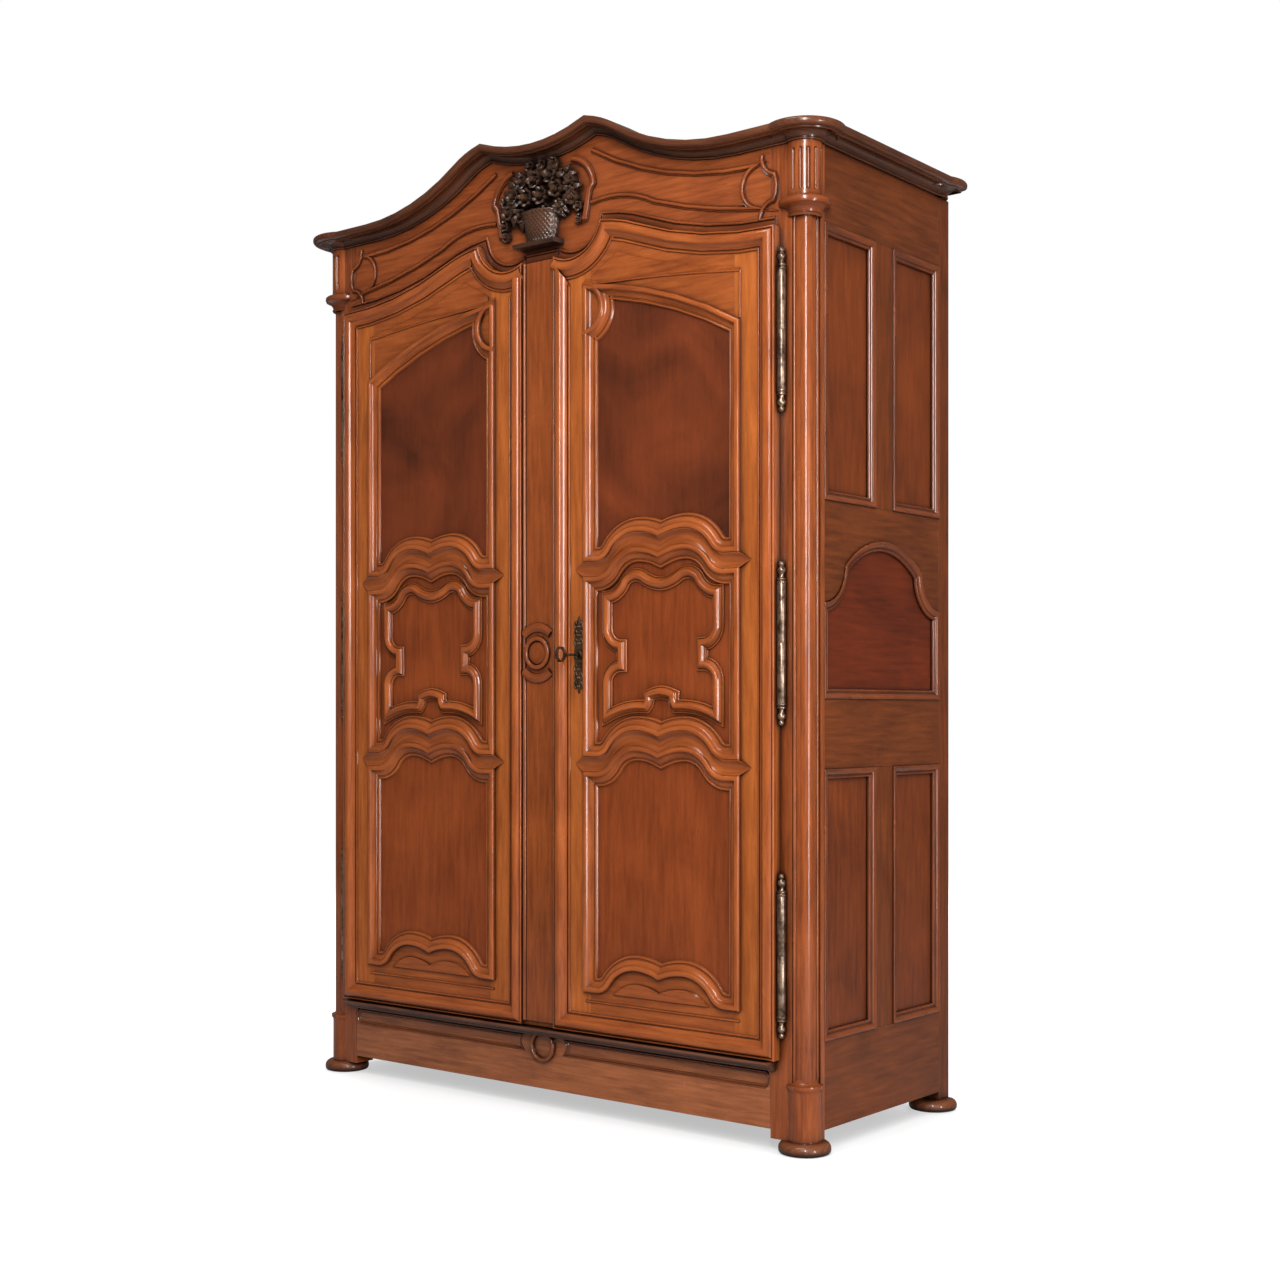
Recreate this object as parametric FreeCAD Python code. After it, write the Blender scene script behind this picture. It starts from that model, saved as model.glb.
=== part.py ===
import FreeCAD, Part
import math
import os

V = FreeCAD.Vector

# A tall two-door walnut armoire. X runs right, Y to the back, Z up, in millimetres.
# Depths are first measured from the front face of the posts, then moved to the origin.

# Case frame
CASE_HALF_WIDTH = 845.0
CASE_DEPTH = 678.0
POST_TOP = 2425.0
RAIL_UNDERSIDE = 52.0
FRONT_POST_WIDTH = 110.0
FRONT_POST_DEPTH = 65.0
REAR_POST_WIDTH = 65.0
REAR_POST_DEPTH = 52.0
FRAME_THICKNESS = 30.0
TENON_LENGTH = 34.0
TENON_THICKNESS = 10.0
TENON_SETBACK = 11.0
TENON_SHOULDER = 20.0
GROOVE = 8.0

# Feet and corner columns
FOOT_HEIGHT = 30.0
FOOT_RADIUS = 64.0
COLUMN_INSET = 33.0
COLUMN_CUT = 27.0
COLUMN_DRUM_RADIUS = 30.0
COLUMN_ROUND_RADIUS = 19.0
COLUMN_ROUND_REACH = 15.0
COLUMN_BEAD_RADIUS = 4.5
COLUMN_BASE_TOP = 156.0
COLUMN_BASE_RADIUS = 41.0
COLUMN_RING_RADIUS = 46.0
COLUMN_RING_HEIGHT = 9.0
CAPITAL_DROP = 179.0
CAPITAL_HEIGHT = 50.0
CAPITAL_RADIUS = 63.5
HEAD_RADIUS = 43.0
FLUTE_WIDTH = 10.0
FLUTE_DEPTH = 5.0
FLUTE_LOW_MARGIN = 10.0
FLUTE_HIGH_MARGIN = 16.0
BEAD_TURNS = (-66.0, 66.0)
FLUTE_TURNS = (-52.0, -26.0, 0.0, 26.0, 52.0)

# Cornice
CORNICE_HEIGHT = 38.0
CORNICE_REACH = 57.0
CORNICE_SEAT = 40.0
CORNICE_TURN_RISE = 108.0
CORNICE_PEAK_RISE = 140.0
CORNICE_DIP_RISE = 106.0
CORNICE_DIP_BOW = 8.5
CORNER_BREAK = 10.0
REAR_EAR_INSET = 45.0

# Doors: the lip laps the frame, the inset part stands in the opening
DOOR_INNER_X = 56.5
DOOR_BOTTOM = 222.0
DOOR_SHOULDER_DROP = 160.0
DOOR_BITE_BOW = 44.5
DOOR_PEAK_DROP = 90.0
DOOR_TURN_DROP = 121.0
DOOR_TURN_BOW = 4.5
DOOR_HINGE_DROP = 197.0
DOOR_LAP = 28.0
DOOR_PLAY = 3.0
DOOR_SIDE_PLAY = 1.5
LIP_BACK = 1.0
FLAT_OUT = 17.0
DOOR_INSET = 14.0
LIP_WIDTH = 54.0
LIP_RISE = 10.0
PANEL_OUT = 10.0
PANEL_THICKNESS = 10.0
DOOR_STILE = 103.25
SIGHT_INSET = 20.0
LOWER_SIGHT_SHIFT = 15.0
UPPER_SIGHT_SHIFT = 8.0
MOULDING_WIDTH = 40.0
MOULDING_RISE = 15.0
ARCH_HINGE_DROP = 409.0
ARCH_MEETING_DROP = 249.0
ARCH_BOW = 27.0
EAR_DROP = 315.0
EAR_RADIUS = 55.0
CREST_RISE = 69.0
CREST_CUSP_DROP = 17.0
CREST_FLAT = 45.0
CROSS_RAIL_WAIST = 38.0
LOWER_RAIL_BOTTOM = 905.0
BOTTOM_RAIL_TOP = 330.0
DOOR_TENON_LENGTH = 40.0
TOP_TENON_LOW_DROP = 365.0
TOP_TENON_HIGH_DROP = 267.0
BOTTOM_TENON_LOW = 258.0
BOTTOM_TENON_HIGH = 305.0
VIOLIN_WIDTH = 36.0
VIOLIN_RISE = 12.0
VIOLIN_HEIGHT = 362.0
VIOLIN_FOOT_GAP = 105.0
VIOLIN_HEAD_GAP = 2.0
VIOLIN_INSET = 72.0

# Meeting strip, carried by the left door
STRIP_HIGH_MARGIN = 5.0
STRIP_LOW_MARGIN = 13.0
STRIP_RIGHT_X = 53.5
STRIP_THICKNESS = 6.0
STRIP_BEAD = 10.0
STRIP_BEAD_BOW = 4.0
STRIP_EASE = 3.0
MEDAL_RADIUS = 43.0
MEDAL_HOLE = 32.0
MEDAL_RISE = 8.0
STRIP_MEDAL_Z = 1217.0

# Hinges
HINGE_STANDOFF = 11.5
HINGE_OUT = 11.0
HINGE_RADIUS = 10.0
HINGE_PIN_RADIUS = 5.0
HINGE_PIN_CLEARANCE = 0.05
HINGE_GAP = 0.4
HINGE_BARREL = 148.0
HINGE_PIN_RISE = 110.0
HINGE_FINIAL = 50.0
HINGE_LEAF = 3.0
HINGE_LEAF_MARGIN = 8.0
HINGE_POST_LEAF_DEPTH = 30.0
HINGE_DOOR_LEAF_REACH = 40.0
LOW_HINGE_Z = 473.5
MIDDLE_HINGE_Z = 1224.5
HIGH_HINGE_DROP = 447.5

# Frieze and base
EDGE_BAND_GAP = 3.0
EDGE_BAND_WIDTH = 25.0
EDGE_BAND_RISE = 4.0
EDGE_BAND_INSET = 13.0
BEAD_WIDTH = 10.0
BEAD_RISE = 6.0
CARTOUCHE_WIDTH = 20.0
CARTOUCHE_RISE = 14.0
FRIEZE_DROP = 175.0
BASE_FIELD_LOW = 147.0
BASE_FIELD_HIGH = 200.0
BASE_FIELD_INSET = 15.0
BASE_FIELD_INNER_X = 66.0
BASE_FIELD_END_BOW = 14.0
BASE_FIELD_SINK = 5.0
BASE_MEDAL_Z = 167.0
BASE_MEDAL_RISE = 12.0

# Flower basket
BASKET_DROP = 127.0
BASKET_LEDGE_HALF = 70.0
BASKET_LEDGE_HEIGHT = 11.0
BASKET_LEDGE_OUT = 26.0
BASKET_FOOT_HALF = 44.0
BASKET_RIM_HALF = 62.0
BASKET_HEIGHT = 88.0
BASKET_RIM_OUT = 28.0
BASKET_SIDES = 12
BOUQUET_RISE = 74.0
BOUQUET_HEIGHT = 154.0
BLOSSOM_OUT = 34.0
BLOSSOM_RADIUS = 27.0
BLOSSOM_PETALS = 6

# Side frames, in depth from the front
MUNTIN_WIDTH = 84.0
SIDE_TOP_RAIL_DROP = 185.0
SIDE_UPPER_RAIL_TOP = 1572.0
SIDE_ARCH_SPRING = 1420.0
SIDE_ARCH_RISE = 70.0
SIDE_ARCH_EAR = 95.0
SIDE_LOWER_RAIL_TOP = 1092.0
SIDE_LOWER_RAIL_BOTTOM = 922.0
SIDE_BOTTOM_RAIL_TOP = 266.0
SIDE_PANEL_SINK = 11.0
SIDE_PANEL_THICKNESS = 8.0
SIDE_MOULDING_WIDTH = 25.0
SIDE_MOULDING_RISE = 13.0
SIDE_PANEL_HEADROOM = 12.0

# Inside
BOARD = 20.0
FLOOR_BOARDS = 4
CEILING_BOARDS = 3
SHELF_BOARDS = 2
SHELF_HEIGHTS = (700.0, 1190.0, 1680.0)
SHELF_CLEARANCE = 1.0
BATTEN_WIDTH = 24.0
BATTEN_HEIGHT = 26.0
CEILING_DROP = 9.0
CEILING_GROOVE = 7.0
BACK_SETBACK = 8.0
BACK_THICKNESS = 28.0
BACK_RAIL_WIDTH = 130.0
BACK_RAIL_LOW = 70.0
BACK_RAIL_MIDDLE = 1180.0
BACK_RAIL_DROP = 145.0
BACK_MUNTIN_WIDTH = 80.0
BACK_PANEL_SETBACK = 9.0
BACK_PANEL_THICKNESS = 10.0

# Lock, key and bolts
KEY_X = 140.0
KEY_Z = 1209.0
KEY_REACH = 109.0
KEY_RADIUS = 3.5
KEY_CLEARANCE = 0.05
KEY_HOLE_RADIUS = 5.5
KEY_BOW_LENGTH = 36.0
KEY_BOW_HEIGHT = 40.0
KEY_BOW_WALL = 6.0
KEY_BOW_THICKNESS = 6.0
KEY_COLLAR_RADIUS = 6.0
KEY_COLLAR_LENGTH = 6.0
KEY_BIT_DROP = 13.0
KEY_BIT_LENGTH = 8.0
KEY_BIT_THICKNESS = 3.0
ESCUTCHEON_LENGTH = 204.0
ESCUTCHEON_WIDTH = 34.0
ESCUTCHEON_THICKNESS = 2.0
LOCK_LEFT = 62.0
LOCK_RIGHT = 176.0
LOCK_DEPTH = 24.0
LOCK_WALL = 4.0
LOCK_LOW = 1186.0
LOCK_HIGH = 1262.0
LOCK_CHAMBER_RADIUS = 15.0
BOLT_HEIGHT = 22.0
BOLT_THICKNESS = 12.0
BOLT_LOW = 1230.0
BOLT_LENGTH = 76.0
BOLT_THROW = 18.0
BOLT_CLEARANCE = 0.4
KEEPER_LEFT = 10.0
KEEPER_RIGHT = 50.0
KEEPER_WALL = 6.0
SLIDE_WIDTH = 16.0
SLIDE_THICKNESS = 8.0
SLIDE_LENGTH = 170.0
SLIDE_THROW = 20.0
SLIDE_STANDOFF = 9.0
SLIDE_PLATE_WIDTH = 36.0
SLIDE_PLATE_THICKNESS = 4.0
SLIDE_PLATE_LENGTH = 130.0
STAPLE_LENGTH = 16.0
STAPLE_WALL = 4.0
STAPLE_MARGIN = 10.0
KNOB_RADIUS = 7.0
KNOB_LENGTH = 12.0
POCKET_DEPTH = 16.0
POCKET_PLAY = 1.5

OVERRUN = 5.0
JOIN_GAP = 0.002
FACET_TURN = 0.6
FACET_SAG = 2.0
ROUND_SIDES = 16
SMALL_SIDES = 8
BEAD_SIDES = 8
SMOOTH = "smooth"
QUARTER = 90.0

# Profiles: across the moulding from its outer edge, then outward, as shares of its size
LIP_SHARES = [(0, 0), (0, 0.6), (0.12, 1), (0.32, 1), (0.38, 0.78), (0.94, 0.32), (1, 0)]
MOULDING_SHARES = [(0, 0.467), (0, 0.85), (0.22, 1), (0.78, 0.32), (1, 0.32), (1, 0), (0.5, 0), (0.5, 0.467)]
VIOLIN_SHARES = [(-0.5, 0), (-0.5, 0.45), (-0.14, 1), (0.5, 0.3), (0.5, 0)]
ROLL_SHARES = [(-0.5, 0), (-0.28, 1), (0.28, 1), (0.5, 0)]
BAND_SHARES = [(0, 0), (0, 1), (0.8, 1), (1, 0)]
SIDE_SHARES = [(0, 0), (0, 0.9), (0.22, 1), (0.86, 0.24), (1, 0.24), (1, 0)]
CORNICE_SHARES = [(0, 0.07), (0.28, 0.14), (0.42, 0.7), (0.5, 0.74), (0.56, 0.94), (0.76, 1), (1, 0.93)]
FOOT_SHARES = [(0.9, 0), (1, 0.35), (1, 0.6), (0.82, 1)]
CAPITAL_SHARES = [(0.66, 0), (0.74, 0.42), (1, 0.6), (1, 0.88), (0.8, 1)]
FINIAL_SHARES = [(0.5, 0.28), (1, 0.56), (0.45, 0.82), (0.7, 1)]

# Outlines as shares: of half width and height on the violin, of the span and rise on the frieze
VIOLIN_HALF_SHARES = [(0, 0.17, 0), (0.22, 0.145, 0.01), (0.27, 0.07, -0.02), (1, 0, 0.05), (1, 0.24, 0),
                      (0.73, 0.365, -0.08), (0.73, 0.5, 0), (1, 0.63, -0.08), (1, 0.855, 0),
                      (0.66, 0.96, 0.06), (0.3, 0.975, -0.07), (0, 0.93, 0.02)]
FIELD_SHARES = [(0.228, 0.888, 0), (0.92, 0.438, -0.048), (0.92, 0.112, -0.05), (0.507, 0.343, 0.011),
                (0.226, 0.452, -0.024)]
BRACKET_SHARES = [(0.949, 0.502, 0), (0.997, 0.343, -0.016), (0.993, 0.143, 0.01), (0.941, 0.007, -0.016)]
CARTOUCHE_SHARES = [(0.157, 0.324, 0), (0.2, 0.336, 0), (0.217, 0.564, 0), (0.235, 0.61, 0),
                    (0.14, 0.848, -0.024)]
BLOSSOM_SHARES = [(-0.84, 0.2, 0.8), (-0.5, 0.1, 0.8), (-0.16, 0.06, 0.75), (0.2, 0.08, 0.8), (0.55, 0.12, 0.8),
                  (0.86, 0.22, 0.75), (-0.7, 0.46, 0.85), (-0.32, 0.38, 1), (0.08, 0.36, 1), (0.48, 0.42, 0.95),
                  (0.8, 0.5, 0.7), (-0.46, 0.68, 0.8), (-0.1, 0.66, 0.95), (0.3, 0.68, 0.85), (0.04, 0.9, 0.6),
                  (0.6, 0.68, 0.55), (-0.72, 0.7, 0.5)]
BLOSSOM_HEART_SHARE = 0.45
BOUQUET_SHARE = 0.1493
CORNICE_LEVEL_SHARE = 0.7574
CORNICE_TURN_SHARE = 0.3136
CORNICE_PEAK_SHARE = 0.2213
DOOR_PEAK_SHARE = 0.2286
DOOR_TURN_SHARE = 0.4084
CREST_SHARE = 0.304
CREST_TURN_SHARE = 0.34
BACK_MUNTIN_SHARE = 0.3462
BOW_BEND_SHARE = 0.41
ESCUTCHEON_SHARES = [(0, 0.5), (0.12, 0.46), (0.1, 0.42), (0.34, 0.37), (0.3, 0.29), (0.14, 0.27), (0.46, 0.2),
                     (0.4, 0.12), (0.5, 0)]

# Places that follow from the sizes above
OPENING_HALF = CASE_HALF_WIDTH - FRONT_POST_WIDTH
SIDE_INNER_X = CASE_HALF_WIDTH - FRAME_THICKNESS
COLUMN_X = CASE_HALF_WIDTH - COLUMN_INSET
CAPITAL_BOTTOM = POST_TOP - CAPITAL_DROP
CAPITAL_TOP = CAPITAL_BOTTOM + CAPITAL_HEIGHT
FLUTE_BOTTOM = CAPITAL_TOP + FLUTE_LOW_MARGIN
FLUTE_TOP = POST_TOP - FLUTE_HIGH_MARGIN
CORNICE_LEVEL_X = CASE_HALF_WIDTH * CORNICE_LEVEL_SHARE
CORNICE_TURN_X = CASE_HALF_WIDTH * CORNICE_TURN_SHARE
CORNICE_PEAK_X = CASE_HALF_WIDTH * CORNICE_PEAK_SHARE
REAR_POST_Y = CASE_DEPTH - REAR_POST_DEPTH
REAR_POST_X = CASE_HALF_WIDTH - REAR_POST_WIDTH
SIDE_MIDDLE_Y = (FRONT_POST_DEPTH + REAR_POST_Y) / 2
SIDE_TOP_RAIL_Z = POST_TOP - SIDE_TOP_RAIL_DROP
CEILING_TOP = POST_TOP - CEILING_DROP
BACK_RAIL_HIGH = POST_TOP - BACK_RAIL_DROP
BACK_MUNTIN_X = REAR_POST_X * BACK_MUNTIN_SHARE
BACK_Y = CASE_DEPTH - BACK_SETBACK - BACK_THICKNESS
DOOR_OUTER_X = OPENING_HALF + DOOR_LAP
DOOR_WIDTH = DOOR_OUTER_X - DOOR_INNER_X
DOOR_CENTRE = (DOOR_INNER_X + DOOR_OUTER_X) / 2
DOOR_PEAK_X = DOOR_INNER_X + DOOR_WIDTH * DOOR_PEAK_SHARE
DOOR_TURN_X = DOOR_INNER_X + DOOR_WIDTH * DOOR_TURN_SHARE
DOOR_SHOULDER_Z = POST_TOP - DOOR_SHOULDER_DROP
DOOR_PEAK_Z = POST_TOP - DOOR_PEAK_DROP
DOOR_TURN_Z = POST_TOP - DOOR_TURN_DROP
DOOR_HINGE_Z = POST_TOP - DOOR_HINGE_DROP
FIELD_HALF = DOOR_WIDTH / 2 - DOOR_STILE
STILE_SIGHT = FIELD_HALF - SIGHT_INSET
CREST_X = FIELD_HALF * CREST_SHARE
CREST_FLAT_X = FIELD_HALF - CREST_FLAT
LOWER_RAIL_TOP = LOWER_RAIL_BOTTOM + CROSS_RAIL_WAIST
VIOLIN_HALF = FIELD_HALF - VIOLIN_INSET
VIOLIN_BOTTOM = LOWER_RAIL_TOP + VIOLIN_FOOT_GAP
UPPER_RAIL_BOTTOM = VIOLIN_BOTTOM + VIOLIN_HEIGHT + VIOLIN_HEAD_GAP
UPPER_RAIL_TOP = UPPER_RAIL_BOTTOM + CROSS_RAIL_WAIST
ARCH_HINGE_Z = POST_TOP - ARCH_HINGE_DROP
ARCH_MEETING_Z = POST_TOP - ARCH_MEETING_DROP
EAR_Z = POST_TOP - EAR_DROP
TOP_TENON_LOW = POST_TOP - TOP_TENON_LOW_DROP
TOP_TENON_HIGH = POST_TOP - TOP_TENON_HIGH_DROP
STRIP_TOP = DOOR_SHOULDER_Z - STRIP_HIGH_MARGIN
STRIP_BOTTOM = DOOR_BOTTOM + STRIP_LOW_MARGIN
HINGE_X = DOOR_OUTER_X + HINGE_STANDOFF
HINGE_HEIGHTS = (LOW_HINGE_Z, MIDDLE_HINGE_Z, POST_TOP - HIGH_HINGE_DROP)
BASE_RAIL_TOP = DOOR_BOTTOM + DOOR_LAP
BASE_FIELD_OUTER_X = OPENING_HALF - BASE_FIELD_INSET
EDGE_BAND_END_X = DOOR_OUTER_X - EDGE_BAND_INSET
FRIEZE_ORIGIN_Z = POST_TOP - FRIEZE_DROP
FRIEZE_RISE = FRIEZE_DROP + CORNICE_PEAK_RISE
BASKET_BOTTOM = POST_TOP - BASKET_DROP
BASKET_RIM_Z = BASKET_BOTTOM + BASKET_HEIGHT
BOUQUET_HALF = EDGE_BAND_END_X * BOUQUET_SHARE
BOUQUET_BOTTOM = BASKET_BOTTOM + BOUQUET_RISE
ORIGIN_SHIFT = (KEY_REACH - CASE_DEPTH) / 2
FAR_REACH = CASE_HALF_WIDTH + CASE_DEPTH + POST_TOP


# Outlines are lists of (x, z, bow): the bow is how far a stretch bulges left of its way
def chord(a, b):
    run = b[0] - a[0]
    rise = b[1] - a[1]
    return run, rise, math.hypot(run, rise)


def headings(a, b):
    """Directions in which the stretch from a to b leaves and arrives."""
    run, rise, length = chord(a, b)
    lead = 2 * math.atan(2 * b[2] / length)
    way = math.atan2(rise, run)
    return way + lead, way - lead


def turn_between(first, second):
    return math.remainder(second - first, 2 * math.pi)


def resolved(path):
    """Give every smooth stretch the bow that carries on from the stretch before it."""
    done = [(path[0][0], path[0][1], 0)]
    for x, z, bow in path[1:]:
        if bow == SMOOTH:
            leave = headings(done[-2], done[-1])[1]
            run, rise, length = chord(done[-1], (x, z))
            lead = turn_between(math.atan2(rise, run), leave)
            bow = length / 2 * math.tan(lead / 2)
        done.append((x, z, bow))
    return done


def mirrored(path):
    """The same outline on the other side of the middle, run the other way."""
    places = [(-x, z) for x, z, bow in reversed(path)]
    bows = [0] + [bow for x, z, bow in reversed(path[1:])]
    return [(x, z, bow) for (x, z), bow in zip(places, bows)]


def moved(path, dx, dz):
    return [(x + dx, z + dz, bow) for x, z, bow in path]


def scaled(shares, width, height, dx, dz):
    return [(dx + x * width, dz + z * height, bow * width) for x, z, bow in shares]


def point(p):
    return V(p[0], 0, p[1])


def facets(path):
    """Places along an outline, close enough together to follow its arcs."""
    places = [path[0][:2]]
    for a, b in zip(path, path[1:]):
        run, rise, length = chord(a, b)
        swing = -4 * math.atan(2 * b[2] / length)
        if swing:
            radius = (length ** 2 / 4 + b[2] ** 2) / (2 * b[2])
            first = headings(a, b)[0]
            fine = 2 * math.acos(1 - FACET_SAG / abs(radius))
            count = math.ceil(abs(swing) / min(fine, FACET_TURN))
            centre_x = a[0] + math.sin(first) * radius
            centre_z = a[1] - math.cos(first) * radius
            for index in range(1, count):
                heading = first + swing * index / count
                places.append((centre_x - math.sin(heading) * radius, centre_z + math.cos(heading) * radius))
        places.append(b[:2])
    return places


def slab(path, front, back):
    """Plate with a closed outline, between two depths."""
    plate = Part.Face(Part.makePolygon([point(place) for place in facets(path)])).extrude(V(0, back - front, 0))
    plate.translate(V(0, front, 0))
    return plate


def box(x0, x1, y0, y1, z0, z1):
    return Part.makeBox(x1 - x0, y1 - y0, z1 - z0, V(x0, y0, z0))


def rod(radius, length, at, way):
    return Part.makeCylinder(radius, length, at, way)


def facetted_rod(radius, length, at):
    """Rod from the front to the back, in plain facets."""
    bar = upright(radius, 0, length, V(0, 0, 0), SMALL_SIDES)
    bar.rotate(V(0, 0, 0), V(1, 0, 0), -QUARTER)
    bar.translate(at)
    return bar


def fused(solids):
    if len(solids) == 1:
        return solids[0]
    return solids[0].multiFuse(solids[1:]).removeSplitter()


def facetted(points, at, sides):
    """Turned work with flat facets, from (radius, height) points."""
    rings = []
    for radius, height in points:
        angles = [2 * math.pi * index / sides for index in range(sides)]
        rings.append([at + V(radius * math.cos(angle), radius * math.sin(angle), height) for angle in angles])
    return solid_of(rings, False)


def flipped(shape):
    """The piece of the other side."""
    return shape.mirror(V(0, 0, 0), V(1, 0, 0))


def on_side(shape):
    """Carry a piece laid out along the front to the right-hand side of the case."""
    placed = shape.copy()
    placed.rotate(V(0, 0, 0), V(0, 0, 1), QUARTER)
    placed.translate(V(CASE_HALF_WIDTH, 0, 0))
    return placed


# Mouldings: a profile carried along an outline, mitred at every corner
def solid_of(rings, closed):
    """Solid with flat facets between rings of corners, with its ends closed unless it meets itself."""
    faces = []
    for low, high in zip(rings, rings[1:] + (rings[:1] if closed else [])):
        for index in range(len(low)):
            after = (index + 1) % len(low)
            corners = [low[index], low[after], high[after], high[index], low[index]]
            faces.append(Part.Face(Part.makePolygon(corners)))
    if not closed:
        faces += [Part.Face(Part.makePolygon(ring + ring[:1])) for ring in (rings[0], rings[-1])]
    solid = Part.Solid(Part.Shell(faces))
    if solid.Volume < 0:
        solid.reverse()
    return solid


def left_of(a, b):
    run, rise, length = chord(a, b)
    return V(-rise / length, 0, run / length)


def moulding(path, profile, side):
    places = facets(path)
    closed = chord(places[0], places[-1])[2] < JOIN_GAP
    if closed:
        places = places[:-1]
    rings = []
    for index, place in enumerate(places):
        before = places[index - 1] if closed or index > 0 else None
        after = places[(index + 1) % len(places)] if closed or index < len(places) - 1 else None
        into = left_of(before, place) if before else left_of(place, after)
        away = left_of(place, after) if after else into
        mitre = (into + away) * (side / (1 + into.dot(away)))
        rings.append([point(place) + mitre * n + V(0, -out, 0) for n, out in profile])
    return solid_of(rings, closed)


def set_out(shape, out):
    """Bring a moulding made on the post face forward to the face it is planted on."""
    placed = shape.copy()
    placed.translate(V(0, -out, 0))
    return placed


LEFT_HAND = 1
RIGHT_HAND = -1


# Shared outlines
def cornice_line(end_x):
    half = resolved([(-end_x, POST_TOP, 0), (-CORNICE_LEVEL_X, POST_TOP, 0),
                     (-CORNICE_TURN_X, POST_TOP + CORNICE_TURN_RISE, SMOOTH),
                     (-CORNICE_PEAK_X, POST_TOP + CORNICE_PEAK_RISE, SMOOTH),
                     (0, POST_TOP + CORNICE_DIP_RISE, -CORNICE_DIP_BOW)])
    return half + mirrored(half)[1:]


def door_head():
    """Upper edge of the right door's lip, from the meeting side to the hinge side."""
    return resolved([(DOOR_INNER_X, DOOR_SHOULDER_Z, 0), (DOOR_PEAK_X, DOOR_PEAK_Z, -DOOR_BITE_BOW),
                     (DOOR_TURN_X, DOOR_TURN_Z, DOOR_TURN_BOW), (DOOR_OUTER_X, DOOR_HINGE_Z, SMOOTH)])


def crest(level, half):
    """Double arch of a door rail, from left to right."""
    turn_x = CREST_FLAT_X + CREST_TURN_SHARE * (CREST_X - CREST_FLAT_X)
    left = resolved([(-half, level, 0), (-CREST_FLAT_X, level, 0),
                     (-turn_x, level + CREST_TURN_SHARE * CREST_RISE, SMOOTH),
                     (-CREST_X, level + CREST_RISE, SMOOTH),
                     (0, level + CREST_RISE - CREST_CUSP_DROP, SMOOTH)])
    return moved(left + mirrored(left)[1:], DOOR_CENTRE, 0)


def arch():
    """Upper edge of the top panel's moulding, from the meeting side to the hinge side."""
    return moved([(-FIELD_HALF, ARCH_MEETING_Z, 0), (FIELD_HALF, ARCH_HINGE_Z, ARCH_BOW)], DOOR_CENTRE, 0)


def backward(path):
    places = [(x, z) for x, z, bow in reversed(path)]
    bows = [0] + [-bow for x, z, bow in reversed(path[1:])]
    return [(x, z, bow) for (x, z), bow in zip(places, bows)]


def field(bottom, top):
    """Closed clockwise outline between a lower and an upper edge."""
    closing = (top[0][0], top[0][1], 0)
    down = backward(bottom)
    return top + [(down[0][0], down[0][1], 0)] + down[1:] + [closing]


def panel_edges():
    """Lower and upper edges of the three panel fields of a door."""
    return [(crest(UPPER_RAIL_TOP, FIELD_HALF), arch()),
            (crest(LOWER_RAIL_TOP, FIELD_HALF), crest(UPPER_RAIL_BOTTOM, FIELD_HALF)),
            (crest(BOTTOM_RAIL_TOP, FIELD_HALF), crest(LOWER_RAIL_BOTTOM, FIELD_HALF))]


# Case
def tenon(x0, x1, z0, z1):
    return box(x0, x1, TENON_SETBACK, TENON_SETBACK + TENON_THICKNESS, z0 + TENON_SHOULDER, z1 - TENON_SHOULDER)


def column_at(turn, reach):
    """Foot of an upright round on the column, turned from the diagonal that faces the corner."""
    angle = math.radians(turn) - math.pi / 4
    return V(COLUMN_X + reach * math.cos(angle), COLUMN_INSET + reach * math.sin(angle), 0)


def upright(radius, z0, z1, at, sides):
    return facetted([(radius, z0), (radius, z1)], at, sides)


def front_post():
    post = box(OPENING_HALF, CASE_HALF_WIDTH, 0, FRONT_POST_DEPTH, FOOT_HEIGHT, POST_TOP)
    corner = box(COLUMN_X - COLUMN_CUT, CASE_HALF_WIDTH + OVERRUN, -OVERRUN, COLUMN_INSET + COLUMN_CUT,
                 FOOT_HEIGHT, POST_TOP)
    axis = column_at(0, 0)
    low = COLUMN_BASE_TOP
    parts = [post.cut(corner)]
    parts.append(upright(COLUMN_BASE_RADIUS, FOOT_HEIGHT, low, axis, ROUND_SIDES))
    parts.append(upright(COLUMN_RING_RADIUS, low, low + COLUMN_RING_HEIGHT, axis, ROUND_SIDES))
    parts.append(upright(COLUMN_DRUM_RADIUS, low, CAPITAL_TOP, axis, ROUND_SIDES))
    parts.append(upright(COLUMN_ROUND_RADIUS, low, CAPITAL_TOP, column_at(0, COLUMN_ROUND_REACH), ROUND_SIDES))
    for turn in BEAD_TURNS:
        bead = column_at(turn, COLUMN_DRUM_RADIUS)
        parts.append(upright(COLUMN_BEAD_RADIUS, low, CAPITAL_TOP, bead, BEAD_SIDES))
    head = upright(HEAD_RADIUS, CAPITAL_TOP, POST_TOP, axis, ROUND_SIDES)
    for turn in FLUTE_TURNS:
        flute = box(HEAD_RADIUS - FLUTE_DEPTH, HEAD_RADIUS + OVERRUN, -FLUTE_WIDTH / 2, FLUTE_WIDTH / 2,
                    FLUTE_BOTTOM, FLUTE_TOP)
        flute.rotate(V(0, 0, 0), V(0, 0, 1), turn - QUARTER / 2)
        flute.translate(axis)
        head = head.cut(flute)
    parts.append(head)
    return fused(parts).cut(side_room())


def side_room():
    """Room behind a front post that the side frame stands in."""
    return box(0, CASE_HALF_WIDTH, FRONT_POST_DEPTH, CASE_DEPTH, 0, POST_TOP)


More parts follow.
